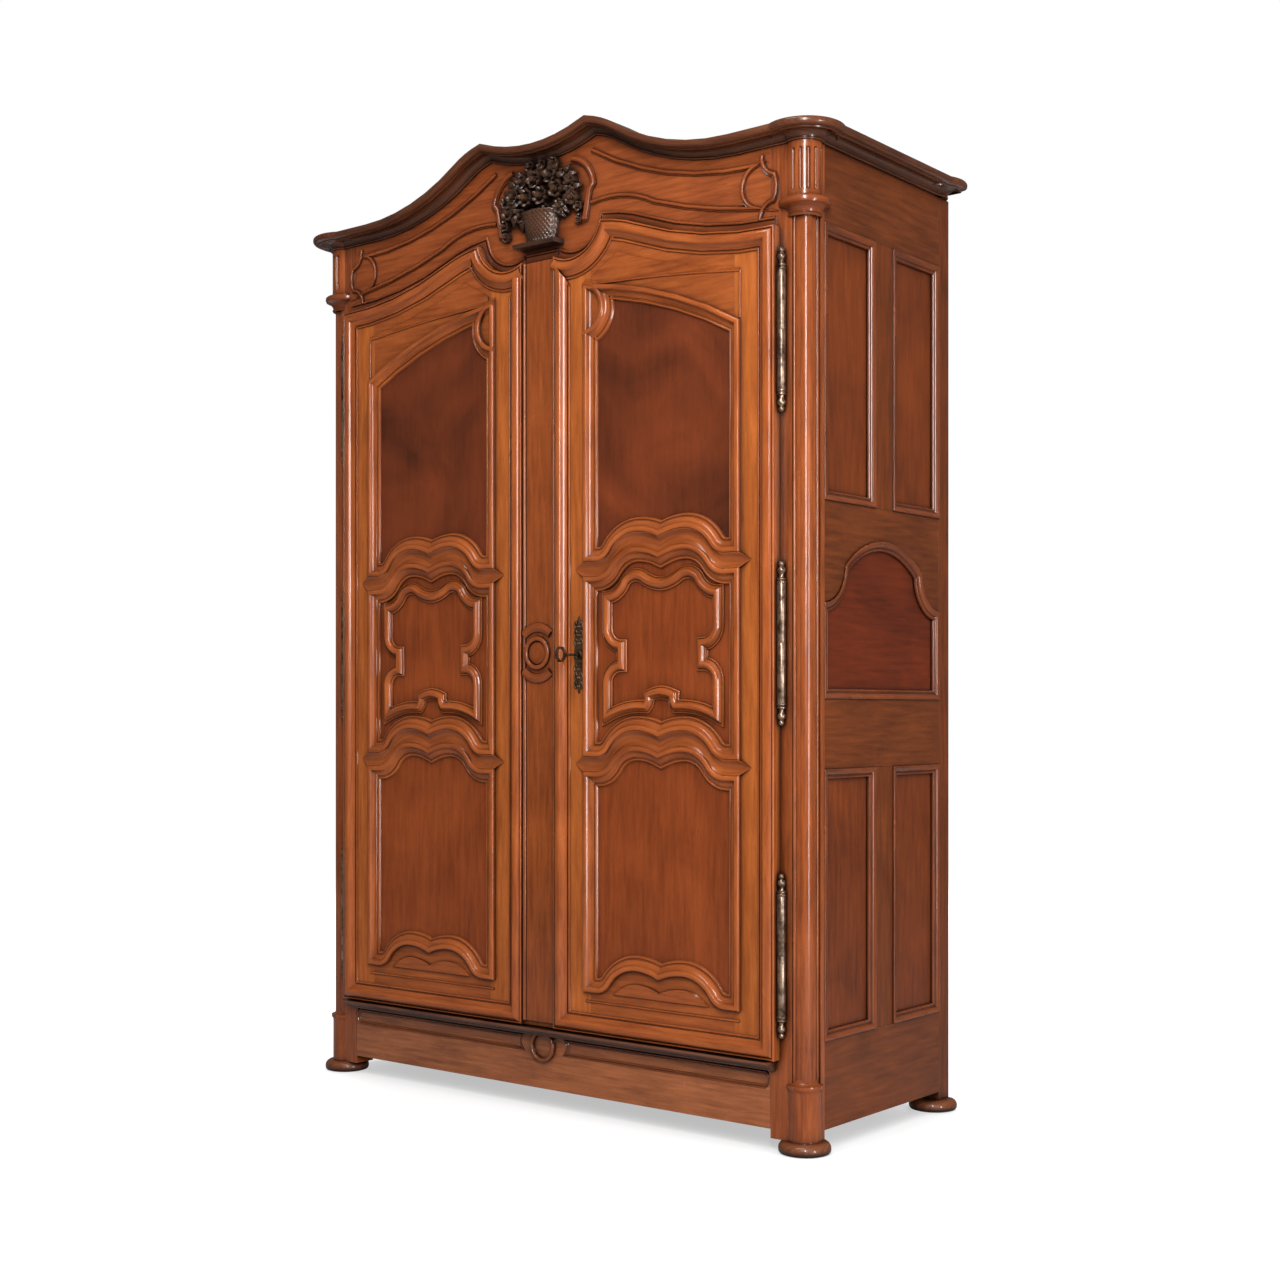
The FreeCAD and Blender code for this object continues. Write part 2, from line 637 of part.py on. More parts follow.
def capital(post, tenons):
    """Turned ring under the column's head, fitted round the post and the side rails' tenons."""
    rise = CAPITAL_TOP - CAPITAL_BOTTOM
    points = [(r * CAPITAL_RADIUS, CAPITAL_BOTTOM + z * rise) for r, z in CAPITAL_SHARES]
    ring = facetted(points, column_at(0, 0), ROUND_SIDES)
    for cutter in [post, side_room()] + tenons:
        ring = ring.cut(cutter)
    return max(ring.Solids, key=lambda solid: solid.Volume)


def foot(y):
    points = [(r * FOOT_RADIUS, z * FOOT_HEIGHT) for r, z in FOOT_SHARES]
    behind = box(0, FAR_REACH, CASE_DEPTH, FAR_REACH, -OVERRUN, POST_TOP)
    return facetted(points, V(COLUMN_X, y, 0), ROUND_SIDES).cut(behind)


def rear_post():
    return box(REAR_POST_X, CASE_HALF_WIDTH, REAR_POST_Y, CASE_DEPTH, FOOT_HEIGHT, POST_TOP)


def frieze_lower_edge():
    right = moved(door_head(), 0, -DOOR_LAP)
    return mirrored(right) + [(right[0][0], right[0][1], 0)] + right[1:]


def frieze_board():
    top = cornice_line(DOOR_OUTER_X)
    plate = slab(field(frieze_lower_edge(), top), 0, FRAME_THICKNESS)
    plate = plate.common(box(-OPENING_HALF, OPENING_HALF, 0, FRAME_THICKNESS, 0, FAR_REACH))
    end = frieze_tenon()
    return fused([plate, end, flipped(end)])


def frieze_tenon():
    return tenon(OPENING_HALF, OPENING_HALF + TENON_LENGTH, DOOR_HINGE_Z, POST_TOP)


def base_tenon():
    return tenon(OPENING_HALF, OPENING_HALF + TENON_LENGTH, RAIL_UNDERSIDE, BASE_RAIL_TOP)


def base_field():
    """Sunk field of the base rail on the right: a hollow end beside the ring, a round outer end."""
    low = BASE_FIELD_LOW
    high = BASE_FIELD_HIGH
    return [(BASE_FIELD_INNER_X, low, 0), (BASE_FIELD_INNER_X, high, -BASE_FIELD_END_BOW),
            (BASE_FIELD_OUTER_X, high, 0), (BASE_FIELD_OUTER_X, low, BASE_FIELD_END_BOW),
            (BASE_FIELD_INNER_X, low, 0)]


def base_rail():
    plate = box(-OPENING_HALF, OPENING_HALF, 0, FRAME_THICKNESS, RAIL_UNDERSIDE, BASE_RAIL_TOP)
    end = base_tenon()
    plate = fused([plate, end, flipped(end)])
    sunk = slab(base_field(), -OVERRUN, BASE_FIELD_SINK)
    return plate.cut(sunk).cut(flipped(sunk))


def profile(shares, width, rise):
    return [(n * width, out * rise) for n, out in shares]


def medal(radius, hole, rise, z):
    """Turned ring with its face to the front."""
    within = upright(hole, -OVERRUN, rise + OVERRUN, V(0, 0, 0), ROUND_SIDES)
    ring = upright(radius, 0, rise, V(0, 0, 0), ROUND_SIDES).cut(within)
    ring.rotate(V(0, 0, 0), V(1, 0, 0), QUARTER)
    ring.translate(V(0, 0, z))
    return ring


def cornice_profile():
    seat = -CORNICE_SEAT
    outer = [(n * CORNICE_HEIGHT, out * CORNICE_REACH) for n, out in CORNICE_SHARES]
    return [(0, seat), (0, 0)] + outer + [(CORNICE_HEIGHT, seat)]


def cornice_corner(y):
    """Turned block over a corner, standing a little proud of the straight runs."""
    root = COLUMN_INSET + CORNER_BREAK
    outer = [(root + out * CORNICE_REACH, n * CORNICE_HEIGHT) for n, out in CORNICE_SHARES]
    block = facetted([(root, 0)] + outer[1:], V(COLUMN_X, y, POST_TOP), ROUND_SIDES)
    return block.common(box(0, FAR_REACH, -CASE_DEPTH, CASE_DEPTH, 0, FAR_REACH))


def cornice_side():
    run = [(COLUMN_INSET, POST_TOP, 0), (CASE_DEPTH - REAR_EAR_INSET, POST_TOP, 0)]
    return on_side(moulding(run, cornice_profile(), LEFT_HAND))


# Side frames are laid out with depth along the front axis, then turned to the side
def side_arch():
    """Opening of the middle panel: hollow quarter-round shoulders and a low arch."""
    left = FRONT_POST_DEPTH - SIDE_MIDDLE_Y
    ear = SIDE_ARCH_EAR
    ear_bow = ear * (1 - math.cos(math.pi / 4))
    start = [(left, SIDE_LOWER_RAIL_TOP, 0), (left, SIDE_ARCH_SPRING - ear, 0),
             (left + ear, SIDE_ARCH_SPRING, -ear_bow)]
    end = mirrored(start)
    over = [(end[0][0], end[0][1], SIDE_ARCH_RISE)] + end[1:]
    return moved(start + over + [(left, SIDE_LOWER_RAIL_TOP, 0)], SIDE_MIDDLE_Y, 0)


def rectangle(y0, y1, z0, z1):
    return [(y0, z0, 0), (y0, z1, 0), (y1, z1, 0), (y1, z0, 0), (y0, z0, 0)]


def side_openings():
    half = MUNTIN_WIDTH / 2
    front = (FRONT_POST_DEPTH, SIDE_MIDDLE_Y - half)
    rear = (SIDE_MIDDLE_Y + half, REAR_POST_Y)
    upper = (SIDE_UPPER_RAIL_TOP, SIDE_TOP_RAIL_Z)
    lower = (SIDE_BOTTOM_RAIL_TOP, SIDE_LOWER_RAIL_BOTTOM)
    return [rectangle(front[0], front[1], z0, z1) for z0, z1 in (upper, lower)] + \
           [rectangle(rear[0], rear[1], z0, z1) for z0, z1 in (upper, lower)]


def side_panel(path):
    ys = [y for y, z, bow in path]
    zs = [z for y, z, bow in path]
    return box(min(ys) - GROOVE, max(ys) + GROOVE, SIDE_PANEL_SINK, SIDE_PANEL_SINK + SIDE_PANEL_THICKNESS,
               min(zs) - GROOVE, max(zs) + GROOVE)


def arch_panel():
    crown = SIDE_ARCH_SPRING + SIDE_ARCH_RISE + SIDE_PANEL_HEADROOM
    return box(FRONT_POST_DEPTH - GROOVE, REAR_POST_Y + GROOVE, SIDE_PANEL_SINK,
               SIDE_PANEL_SINK + SIDE_PANEL_THICKNESS, SIDE_LOWER_RAIL_TOP - GROOVE, crown)


def side_rail(z0, z1, tenon_low):
    rail = box(FRONT_POST_DEPTH, REAR_POST_Y, 0, FRAME_THICKNESS, z0, z1)
    ends = [tenon(FRONT_POST_DEPTH - TENON_LENGTH, FRONT_POST_DEPTH, tenon_low, z1),
            tenon(REAR_POST_Y, REAR_POST_Y + TENON_LENGTH, tenon_low, z1)]
    return fused([rail] + ends), ends


def side_frame():
    """Rails, muntins, panels, mouldings and tenons of the right-hand side."""
    levels = [(SIDE_TOP_RAIL_Z, POST_TOP), (SIDE_ARCH_SPRING - SIDE_ARCH_EAR, SIDE_UPPER_RAIL_TOP),
              (SIDE_LOWER_RAIL_BOTTOM, SIDE_LOWER_RAIL_TOP), (RAIL_UNDERSIDE, SIDE_BOTTOM_RAIL_TOP)]
    rails = []
    tenons = []
    for z0, z1 in levels:
        low = max(z0, SIDE_ARCH_SPRING + SIDE_ARCH_RISE) if z1 == SIDE_UPPER_RAIL_TOP else z0
        rail, ends = side_rail(z0, z1, low)
        rails.append(rail)
        tenons += ends
    rails[1] = rails[1].cut(slab(side_arch(), -OVERRUN, FRAME_THICKNESS + OVERRUN))
    half = MUNTIN_WIDTH / 2
    muntins = [box(SIDE_MIDDLE_Y - half, SIDE_MIDDLE_Y + half, 0, FRAME_THICKNESS, z0, z1)
               for z0, z1 in ((SIDE_BOTTOM_RAIL_TOP, SIDE_LOWER_RAIL_BOTTOM), (SIDE_UPPER_RAIL_TOP, SIDE_TOP_RAIL_Z))]
    panels = [side_panel(path) for path in side_openings()] + [arch_panel()]
    edge = profile(SIDE_SHARES, SIDE_MOULDING_WIDTH, SIDE_MOULDING_RISE)
    trims = []
    for path in side_openings() + [side_arch()]:
        trims.append(set_out(moulding(path, edge, RIGHT_HAND), -SIDE_PANEL_SINK))
    for panel in panels:
        rails = [rail.cut(panel) for rail in rails]
        muntins = [muntin.cut(panel) for muntin in muntins]
    return [[on_side(piece) for piece in group] for group in (rails, muntins, panels, trims, tenons)]


# Inside of the case
def boards(z, count):
    """Boards from side to side; the first one is narrowed to pass between the front posts."""
    step = (REAR_POST_Y - FRONT_POST_DEPTH) / count
    found = []
    for index in range(count):
        y = FRONT_POST_DEPTH + step * index
        found.append(box(-SIDE_INNER_X, SIDE_INNER_X, y, y + step, z - BOARD, z))
    tongue = box(-OPENING_HALF, OPENING_HALF, FRAME_THICKNESS, FRONT_POST_DEPTH, z - BOARD, z)
    found[0] = fused([found[0], tongue])
    return found


def ceiling():
    tongue = box(SIDE_INNER_X, SIDE_INNER_X + CEILING_GROOVE, FRONT_POST_DEPTH, REAR_POST_Y,
                 CEILING_TOP - BOARD, CEILING_TOP)
    found = []
    for board in boards(CEILING_TOP, CEILING_BOARDS):
        reach = board.BoundBox
        ends = tongue.common(box(0, CASE_HALF_WIDTH, reach.YMin, reach.YMax, 0, POST_TOP))
        found.append(fused([board, ends, flipped(ends)]))
    return found


def shelf(z):
    width = SIDE_INNER_X - SHELF_CLEARANCE
    step = (REAR_POST_Y - FRONT_POST_DEPTH) / SHELF_BOARDS
    fronts = [FRONT_POST_DEPTH + step * index for index in range(SHELF_BOARDS)]
    return [box(-width, width, y, y + step, z - BOARD, z) for y in fronts]


def batten(z):
    return box(SIDE_INNER_X - BATTEN_WIDTH, SIDE_INNER_X, FRONT_POST_DEPTH, REAR_POST_Y,
               z - BOARD - BATTEN_HEIGHT, z - BOARD)


def back_frame():
    levels = [BACK_RAIL_LOW, BACK_RAIL_MIDDLE, BACK_RAIL_HIGH]
    end = BACK_Y + BACK_THICKNESS
    frame = [box(-REAR_POST_X, REAR_POST_X, BACK_Y, end, z, z + BACK_RAIL_WIDTH) for z in levels]
    half = BACK_MUNTIN_WIDTH / 2
    panels = []
    bays = [(-REAR_POST_X, -BACK_MUNTIN_X - half), (-BACK_MUNTIN_X + half, BACK_MUNTIN_X - half),
            (BACK_MUNTIN_X + half, REAR_POST_X)]
    for low, high in zip(levels, levels[1:]):
        for x in (-BACK_MUNTIN_X, BACK_MUNTIN_X):
            frame.append(box(x - half, x + half, BACK_Y, end, low + BACK_RAIL_WIDTH, high))
        for x0, x1 in bays:
            y = BACK_Y + BACK_PANEL_SETBACK
            panels.append(box(x0 - GROOVE, x1 + GROOVE, y, y + BACK_PANEL_THICKNESS,
                              low + BACK_RAIL_WIDTH - GROOVE, high + GROOVE))
    return frame, panels


# Doors: made on the right, mirrored for the left
def door_outline():
    head = door_head()
    return [(DOOR_INNER_X, DOOR_BOTTOM, 0), (head[0][0], head[0][1], 0)] + head[1:] + \
           [(DOOR_OUTER_X, DOOR_BOTTOM, 0), (DOOR_INNER_X, DOOR_BOTTOM, 0)]


def door_plate():
    lip = slab(door_outline(), -FLAT_OUT, -LIP_BACK)
    drop = DOOR_LAP + DOOR_PLAY
    inset = slab(moved(door_outline(), DOOR_SIDE_PLAY, -drop), -LIP_BACK, DOOR_INSET)
    inset = inset.common(box(0, OPENING_HALF - DOOR_PLAY, -LIP_BACK, DOOR_INSET,
                             BASE_RAIL_TOP + DOOR_PLAY, POST_TOP))
    return fused([lip, inset])


def ear_post(radius):
    """Round at the upper corner of the top panel, right through the door."""
    x = DOOR_CENTRE - FIELD_HALF
    ring = [(x, EAR_Z - radius, 0), (x, EAR_Z + radius, -radius), (x, EAR_Z - radius, -radius)]
    return slab(ring, -CASE_DEPTH, CASE_DEPTH)


def chords(path):
    """The corners of an outline, joined by straight lines; for edges that a moulding covers."""
    return [(x, z, 0) for x, z, bow in path]


def door_fields(grow, front, back):
    """Openings in a door's frame, or with grow the panels that stand in its grooves."""
    found = []
    half = STILE_SIGHT + grow
    side = box(DOOR_CENTRE - half, DOOR_CENTRE + half, front, back, 0, POST_TOP)
    for bottom, top in panel_edges():
        low = moved(chords(bottom), 0, LOWER_SIGHT_SHIFT - grow)
        high = moved(top if len(top) == 2 else chords(top), 0, grow - UPPER_SIGHT_SHIFT)
        found.append(slab(field(low, high), front, back).common(side))
    found[0] = found[0].cut(ear_post(EAR_RADIUS + LOWER_SIGHT_SHIFT - grow))
    return found


def door_panels():
    return door_fields(GROOVE, -PANEL_OUT, PANEL_THICKNESS - PANEL_OUT)


def door_tenons():
    x = DOOR_CENTRE + STILE_SIGHT
    levels = [(TOP_TENON_LOW, TOP_TENON_HIGH), (UPPER_RAIL_BOTTOM, UPPER_RAIL_TOP),
              (LOWER_RAIL_BOTTOM, LOWER_RAIL_TOP), (BOTTOM_TENON_LOW, BOTTOM_TENON_HIGH)]
    front = -PANEL_OUT
    found = []
    for low, high in levels:
        right = box(x, x + DOOR_TENON_LENGTH, front, front + TENON_THICKNESS, low, high)
        left = right.copy()
        left.translate(V(-STILE_SIGHT * 2 - DOOR_TENON_LENGTH, 0, 0))
        found.append((left, right))
    return found


def door_frame(panels):
    """Hinge stile, meeting stile, and the rails from the top down."""
    frame = door_plate()
    for opening in door_fields(0, -FLAT_OUT - OVERRUN, DOOR_INSET + OVERRUN):
        frame = frame.cut(opening)
    for panel in panels:
        frame = frame.cut(panel)
    left = DOOR_CENTRE - STILE_SIGHT
    right = DOOR_CENTRE + STILE_SIGHT
    deep = (-CASE_DEPTH, CASE_DEPTH, 0, POST_TOP)
    hinge_stile = frame.common(box(right, DOOR_OUTER_X, *deep))
    meeting_stile = frame.common(box(0, left, *deep))
    rails = sorted(frame.common(box(left, right, *deep)).Solids, key=lambda rail: -rail.BoundBox.ZMax)
    done = []
    for rail, pair in zip(rails, door_tenons()):
        done.append(fused([rail] + list(pair)))
        meeting_stile = meeting_stile.cut(pair[0])
        hinge_stile = hinge_stile.cut(pair[1])
    return hinge_stile, meeting_stile, done


def panel_mouldings(stile, rail):
    """Mouldings of the three fields; the ear at the top is let in round the stile and the rail."""
    edge = profile(MOULDING_SHARES, MOULDING_WIDTH, MOULDING_RISE)
    found = [moulding(field(bottom, top), edge, RIGHT_HAND) for bottom, top in panel_edges()]
    inside = slab(field(*panel_edges()[0]), -FLAT_OUT * 2, FLAT_OUT)
    x = DOOR_CENTRE - FIELD_HALF
    round_corner = [(x, EAR_Z - EAR_RADIUS, 0), (x, EAR_Z + EAR_RADIUS, -EAR_RADIUS)]
    whole = [(-EAR_RADIUS + OVERRUN, -FLAT_OUT), (-EAR_RADIUS + OVERRUN, FLAT_OUT * 2),
             (MOULDING_WIDTH, FLAT_OUT * 2), (MOULDING_WIDTH, -FLAT_OUT)]
    room = moulding(round_corner, whole, RIGHT_HAND)
    ear = moulding(round_corner, edge, RIGHT_HAND).common(inside)
    found[0] = fused([found[0].cut(room), ear])
    placed = [set_out(piece, PANEL_OUT) for piece in found]
    top = placed[0].cut(stile).cut(rail)
    return [max(top.Solids, key=lambda solid: solid.Volume)] + placed[1:]


def violin():
    half = scaled(VIOLIN_HALF_SHARES, VIOLIN_HALF, VIOLIN_HEIGHT, 0, VIOLIN_BOTTOM)
    loop = backward(half) + backward(mirrored(half))[1:]
    path = moved(loop, DOOR_CENTRE, 0)
    return set_out(moulding(path, profile(VIOLIN_SHARES, VIOLIN_WIDTH, VIOLIN_RISE), LEFT_HAND), PANEL_OUT)


def strip():
    """Flat strip with a bead on its left edge, eased on its right."""
    front = -FLAT_OUT - STRIP_THICKNESS
    left = -STRIP_RIGHT_X
    bead = V(left + STRIP_BEAD / 2, front - STRIP_BEAD_BOW, STRIP_BOTTOM)
    a = V(left, front, STRIP_BOTTOM)
    b = V(left + STRIP_BEAD, front, STRIP_BOTTOM)
    c = V(STRIP_RIGHT_X - STRIP_EASE, front, STRIP_BOTTOM)
    d = V(STRIP_RIGHT_X, front + STRIP_EASE, STRIP_BOTTOM)
    e = V(STRIP_RIGHT_X, -FLAT_OUT, STRIP_BOTTOM)
    f = V(left, -FLAT_OUT, STRIP_BOTTOM)
    lines = [Part.Arc(a, bead, b).toShape(), Part.makePolygon([b, c, d, e, f, a])]
    wire = Part.Wire(lines[0].Edges + lines[1].Edges)
    return Part.Face(wire).extrude(V(0, 0, STRIP_TOP - STRIP_BOTTOM))


def strip_bed():
    """Broad edge of the left meeting stile that carries the strip."""
    top = DOOR_SHOULDER_Z - DOOR_LAP - DOOR_PLAY
    left = -DOOR_INNER_X - DOOR_SIDE_PLAY
    return [box(-DOOR_INNER_X, STRIP_RIGHT_X, -FLAT_OUT, -LIP_BACK, DOOR_BOTTOM, STRIP_TOP),
            box(left, STRIP_RIGHT_X, -LIP_BACK, DOOR_INSET, BASE_RAIL_TOP + DOOR_PLAY, top)]


# Hinges: the lower half with its pin is fixed to the post, the upper half to the door
def hinge_body(z, up):
    points = [(HINGE_RADIUS, 0), (HINGE_RADIUS, up * HINGE_BARREL)]
    points += [(r * HINGE_RADIUS, up * (HINGE_BARREL + share * HINGE_FINIAL)) for r, share in FINIAL_SHARES]
    return facetted(points, V(HINGE_X, -HINGE_OUT, z), SMALL_SIDES)


def post_leaf(z):
    low = z - HINGE_BARREL + HINGE_LEAF_MARGIN
    return box(HINGE_X - HINGE_LEAF / 2, HINGE_X + HINGE_LEAF / 2, -HINGE_OUT, HINGE_POST_LEAF_DEPTH,
               low, z - HINGE_LEAF_MARGIN)


def door_leaf(z):
    high = z + HINGE_BARREL - HINGE_LEAF_MARGIN
    return box(HINGE_X - HINGE_DOOR_LEAF_REACH, HINGE_X, -HINGE_OUT - HINGE_LEAF / 2, -HINGE_OUT + HINGE_LEAF / 2,
               z + HINGE_LEAF_MARGIN, high)


def post_half(z):
    pin = rod(HINGE_PIN_RADIUS, HINGE_PIN_RISE + HINGE_LEAF_MARGIN,
              V(HINGE_X, -HINGE_OUT, z - HINGE_LEAF_MARGIN), V(0, 0, 1))
    return fused([hinge_body(z, -1), pin, post_leaf(z)])


def door_half(z):
    start = z + HINGE_GAP
    bore = rod(HINGE_PIN_RADIUS + HINGE_PIN_CLEARANCE, HINGE_PIN_RISE + HINGE_GAP,
               V(HINGE_X, -HINGE_OUT, z), V(0, 0, 1))
    return fused([hinge_body(start, 1), door_leaf(z)]).cut(bore)


# Lock on the right door
def escutcheon():
    upper = [(KEY_X + x * ESCUTCHEON_WIDTH, KEY_Z + z * ESCUTCHEON_LENGTH, 0) for x, z in ESCUTCHEON_SHARES]
    lower = [(x, 2 * KEY_Z - z, 0) for x, z, bow in reversed(upper[:-1])]
    right = upper + lower
    left = [(2 * KEY_X - x, z, 0) for x, z, bow in reversed(right[:-1])]
    return slab(right + left, -FLAT_OUT - ESCUTCHEON_THICKNESS, -FLAT_OUT).cut(key_hole())


def key_hole():
    return facetted_rod(KEY_HOLE_RADIUS, FLAT_OUT * 2 + DOOR_INSET, V(KEY_X, -FLAT_OUT * 2, KEY_Z))


def oval(length, height):
    """Upright oval of the key's bow, with its round ends in plain facets."""
    half = length / 2
    bend = half * BOW_BEND_SHARE
    rise = height / 2
    shoulder = rise - half + bend
    right = [(bend, rise, 0), (half, shoulder, 0), (half, -shoulder, 0), (bend, -rise, 0)]
    left = [(-x, z, 0) for x, z, bow in reversed(right)]
    return right + left + right[:1]


def key():
    bow = slab(oval(KEY_BOW_LENGTH, KEY_BOW_HEIGHT), -KEY_BOW_THICKNESS / 2, KEY_BOW_THICKNESS / 2)
    wall = KEY_BOW_WALL * 2
    hole = slab(oval(KEY_BOW_LENGTH - wall, KEY_BOW_HEIGHT - wall), -KEY_BOW_THICKNESS, KEY_BOW_THICKNESS)
    loop = bow.cut(hole)
    loop.rotate(V(0, 0, 0), V(0, 0, 1), QUARTER)
    loop.translate(V(KEY_X, -KEY_REACH + KEY_BOW_LENGTH / 2, KEY_Z))
    neck = -KEY_REACH + KEY_BOW_LENGTH - KEY_BOW_WALL / 2
    tip = DOOR_INSET + LOCK_DEPTH - LOCK_WALL / 2
    shank = rod(KEY_RADIUS, tip - neck, V(KEY_X, neck, KEY_Z), V(0, 1, 0))
    collar = facetted_rod(KEY_COLLAR_RADIUS, KEY_COLLAR_LENGTH, V(KEY_X, neck + KEY_BOW_WALL / 2, KEY_Z))
    start = DOOR_INSET + LOCK_WALL + BOLT_CLEARANCE
    bit = box(KEY_X - KEY_BIT_THICKNESS / 2, KEY_X + KEY_BIT_THICKNESS / 2, start, start + KEY_BIT_LENGTH,
              KEY_Z - KEY_BIT_DROP, KEY_Z)
    return fused([loop, shank, collar, bit])


def bolt_bar(x0, x1, play):
    start = DOOR_INSET + LOCK_DEPTH / 2 - BOLT_THICKNESS / 2
    return box(x0, x1, start - play, start + BOLT_THICKNESS + play, BOLT_LOW - play, BOLT_LOW + BOLT_HEIGHT + play)


def lock_case():
    case = box(LOCK_LEFT, LOCK_RIGHT, DOOR_INSET, DOOR_INSET + LOCK_DEPTH, LOCK_LOW, LOCK_HIGH)
    case = case.cut(bolt_bar(LOCK_LEFT - OVERRUN, LOCK_RIGHT - LOCK_WALL, BOLT_CLEARANCE))
    chamber = facetted_rod(LOCK_CHAMBER_RADIUS, LOCK_DEPTH - LOCK_WALL * 2,
                           V(KEY_X, DOOR_INSET + LOCK_WALL, KEY_Z))
    bearing = rod(KEY_RADIUS + KEY_CLEARANCE, LOCK_DEPTH, V(KEY_X, DOOR_INSET, KEY_Z), V(0, 1, 0))
    return case.cut(chamber).cut(bearing)


def lock_bolt():
    return bolt_bar(LOCK_LEFT, LOCK_LEFT + BOLT_LENGTH, 0)


def keeper():
    start = DOOR_INSET
    block = box(KEEPER_LEFT, KEEPER_RIGHT, start, start + LOCK_DEPTH, BOLT_LOW - KEEPER_WALL,
                BOLT_LOW + BOLT_HEIGHT + KEEPER_WALL)
    return block.cut(bolt_bar(KEEPER_LEFT + KEEPER_WALL, KEEPER_RIGHT + OVERRUN, POCKET_PLAY))


# Sliding bolts on the back of the left door; up is 1 for the top bolt and -1 for the bottom one
def slide_end(up):
    if up > 0:
        return DOOR_SHOULDER_Z - DOOR_LAP - SLIDE_STANDOFF
    return BASE_RAIL_TOP + SLIDE_STANDOFF


def upright_box(half, y0, y1, z0, z1):
    return box(-half, half, y0, y1, min(z0, z1), max(z0, z1))


def slide_bolt(up):
    end = slide_end(up)
    back = DOOR_INSET + SLIDE_PLATE_THICKNESS + BOLT_CLEARANCE
    bar = upright_box(SLIDE_WIDTH / 2, back, back + SLIDE_THICKNESS, end, end - up * SLIDE_LENGTH)
    knob = facetted_rod(KNOB_RADIUS, KNOB_LENGTH, V(0, back + SLIDE_THICKNESS, end - up * SLIDE_LENGTH / 2))
    return fused([bar, knob])


def slide_plate(up):
    middle = slide_end(up) - up * SLIDE_LENGTH / 2
    half = SLIDE_PLATE_LENGTH / 2
    back = DOOR_INSET + SLIDE_PLATE_THICKNESS
    plate = upright_box(SLIDE_PLATE_WIDTH / 2, DOOR_INSET, back, middle - half, middle + half)
    parts = [plate]
    deep = back + SLIDE_THICKNESS + BOLT_CLEARANCE * 2
    for side in (-1, 1):
        start = middle + side * (half - STAPLE_MARGIN)
        stop = start - side * STAPLE_LENGTH
        staple = upright_box(SLIDE_WIDTH / 2 + STAPLE_WALL, back, deep + STAPLE_WALL, start, stop)
        channel = upright_box(SLIDE_WIDTH / 2 + BOLT_CLEARANCE, back, deep, start - side * -OVERRUN,
                              stop - side * OVERRUN)
        parts.append(staple.cut(channel))
    return fused(parts)


def slide_pocket(up):
    """Socket for a sliding bolt in the frieze or the base rail."""
    edge = slide_end(up) + up * SLIDE_STANDOFF
    back = DOOR_INSET + SLIDE_PLATE_THICKNESS + BOLT_CLEARANCE
    return upright_box(SLIDE_WIDTH / 2 + POCKET_PLAY, back - POCKET_PLAY, back + SLIDE_THICKNESS + POCKET_PLAY,
                       edge - up * OVERRUN, edge + up * POCKET_DEPTH)


# Carving on the frieze
def blossom(x_share, z_share, size_share):
    """Simple blossom: a faceted dome with a raised heart."""
    radius = BLOSSOM_RADIUS * size_share
    points = [(radius, 0), (radius * BLOSSOM_HEART_SHARE, BLOSSOM_OUT * size_share)]
    flower = facetted(points, V(0, 0, 0), BLOSSOM_PETALS)
    flower.rotate(V(0, 0, 0), V(1, 0, 0), QUARTER)
    flower.translate(V(x_share * BOUQUET_HALF, 0, BOUQUET_BOTTOM + z_share * BOUQUET_HEIGHT))
    return flower


def basket():
    ledge = box(-BASKET_LEDGE_HALF, BASKET_LEDGE_HALF, -BASKET_LEDGE_OUT, 0, BASKET_BOTTOM,
                BASKET_BOTTOM + BASKET_LEDGE_HEIGHT)
    foot_z = BASKET_BOTTOM + BASKET_LEDGE_HEIGHT
    points = [(BASKET_FOOT_HALF, foot_z), (BASKET_RIM_HALF, BASKET_RIM_Z)]
    body = facetted(points, V(0, 0, 0), BASKET_SIDES)
    body = body.common(box(-BASKET_RIM_HALF, BASKET_RIM_HALF, -BASKET_RIM_OUT, 0, 0, POST_TOP))
    return fused([ledge, body] + [blossom(*shares) for shares in BLOSSOM_SHARES])


# Hand each piece over as a named node
def save(name, pieces):
    solids = [solid for piece in pieces for solid in piece.Solids]
    shape = solids[0] if len(solids) == 1 else Part.makeCompound(solids)
    shape = shape.copy()
    shape.translate(V(0, ORIGIN_SHIFT, 0))
    shape.exportStep("parts/" + name + ".step")


def both(piece):
    return [flipped(piece), piece]


def build_case():
    rails, muntins, panels, trims, tenons = side_frame()
    post = front_post()
    save("column_capitals", both(capital(post, tenons + panels)))
    for cutter in tenons + panels + [frieze_tenon(), base_tenon()] + [post_leaf(z) for z in HINGE_HEIGHTS]:
        post = post.cut(cutter)
    rear = rear_post()
    back_rails, back_panels = back_frame()
    for cutter in tenons + panels + back_panels:
        rear = rear.cut(cutter)
    save("front_post_right", [post])
    save("front_post_left", [flipped(post)])
    save("rear_posts", both(rear))
    save("foot_pads", both(foot(COLUMN_INSET)) + both(foot(CASE_DEPTH - REAR_POST_DEPTH / 2)))
    roof = ceiling()
    for plank in roof:
        rails[0] = rails[0].cut(plank)
    save("right_side_rails", rails)
    save("left_side_rails", [flipped(rail) for rail in rails])
    save("side_muntins", muntins + [flipped(piece) for piece in muntins])
    save("right_side_panels", panels)
    save("left_side_panels", [flipped(panel) for panel in panels])
    save("side_panel_mouldings", trims + [flipped(trim) for trim in trims])
    for panel in back_panels:
        back_rails = [piece.cut(panel) for piece in back_rails]
    save("back_frame", back_rails)
    save("back_panels", back_panels)
    save("ceiling_boards", roof)
    save("floor_boards", boards(BASE_RAIL_TOP, FLOOR_BOARDS))
    save("shelves", [plank for z in SHELF_HEIGHTS for plank in shelf(z)])
    supports = [batten(z) for z in (BASE_RAIL_TOP,) + SHELF_HEIGHTS]
    save("shelf_battens", supports + [flipped(piece) for piece in supports])


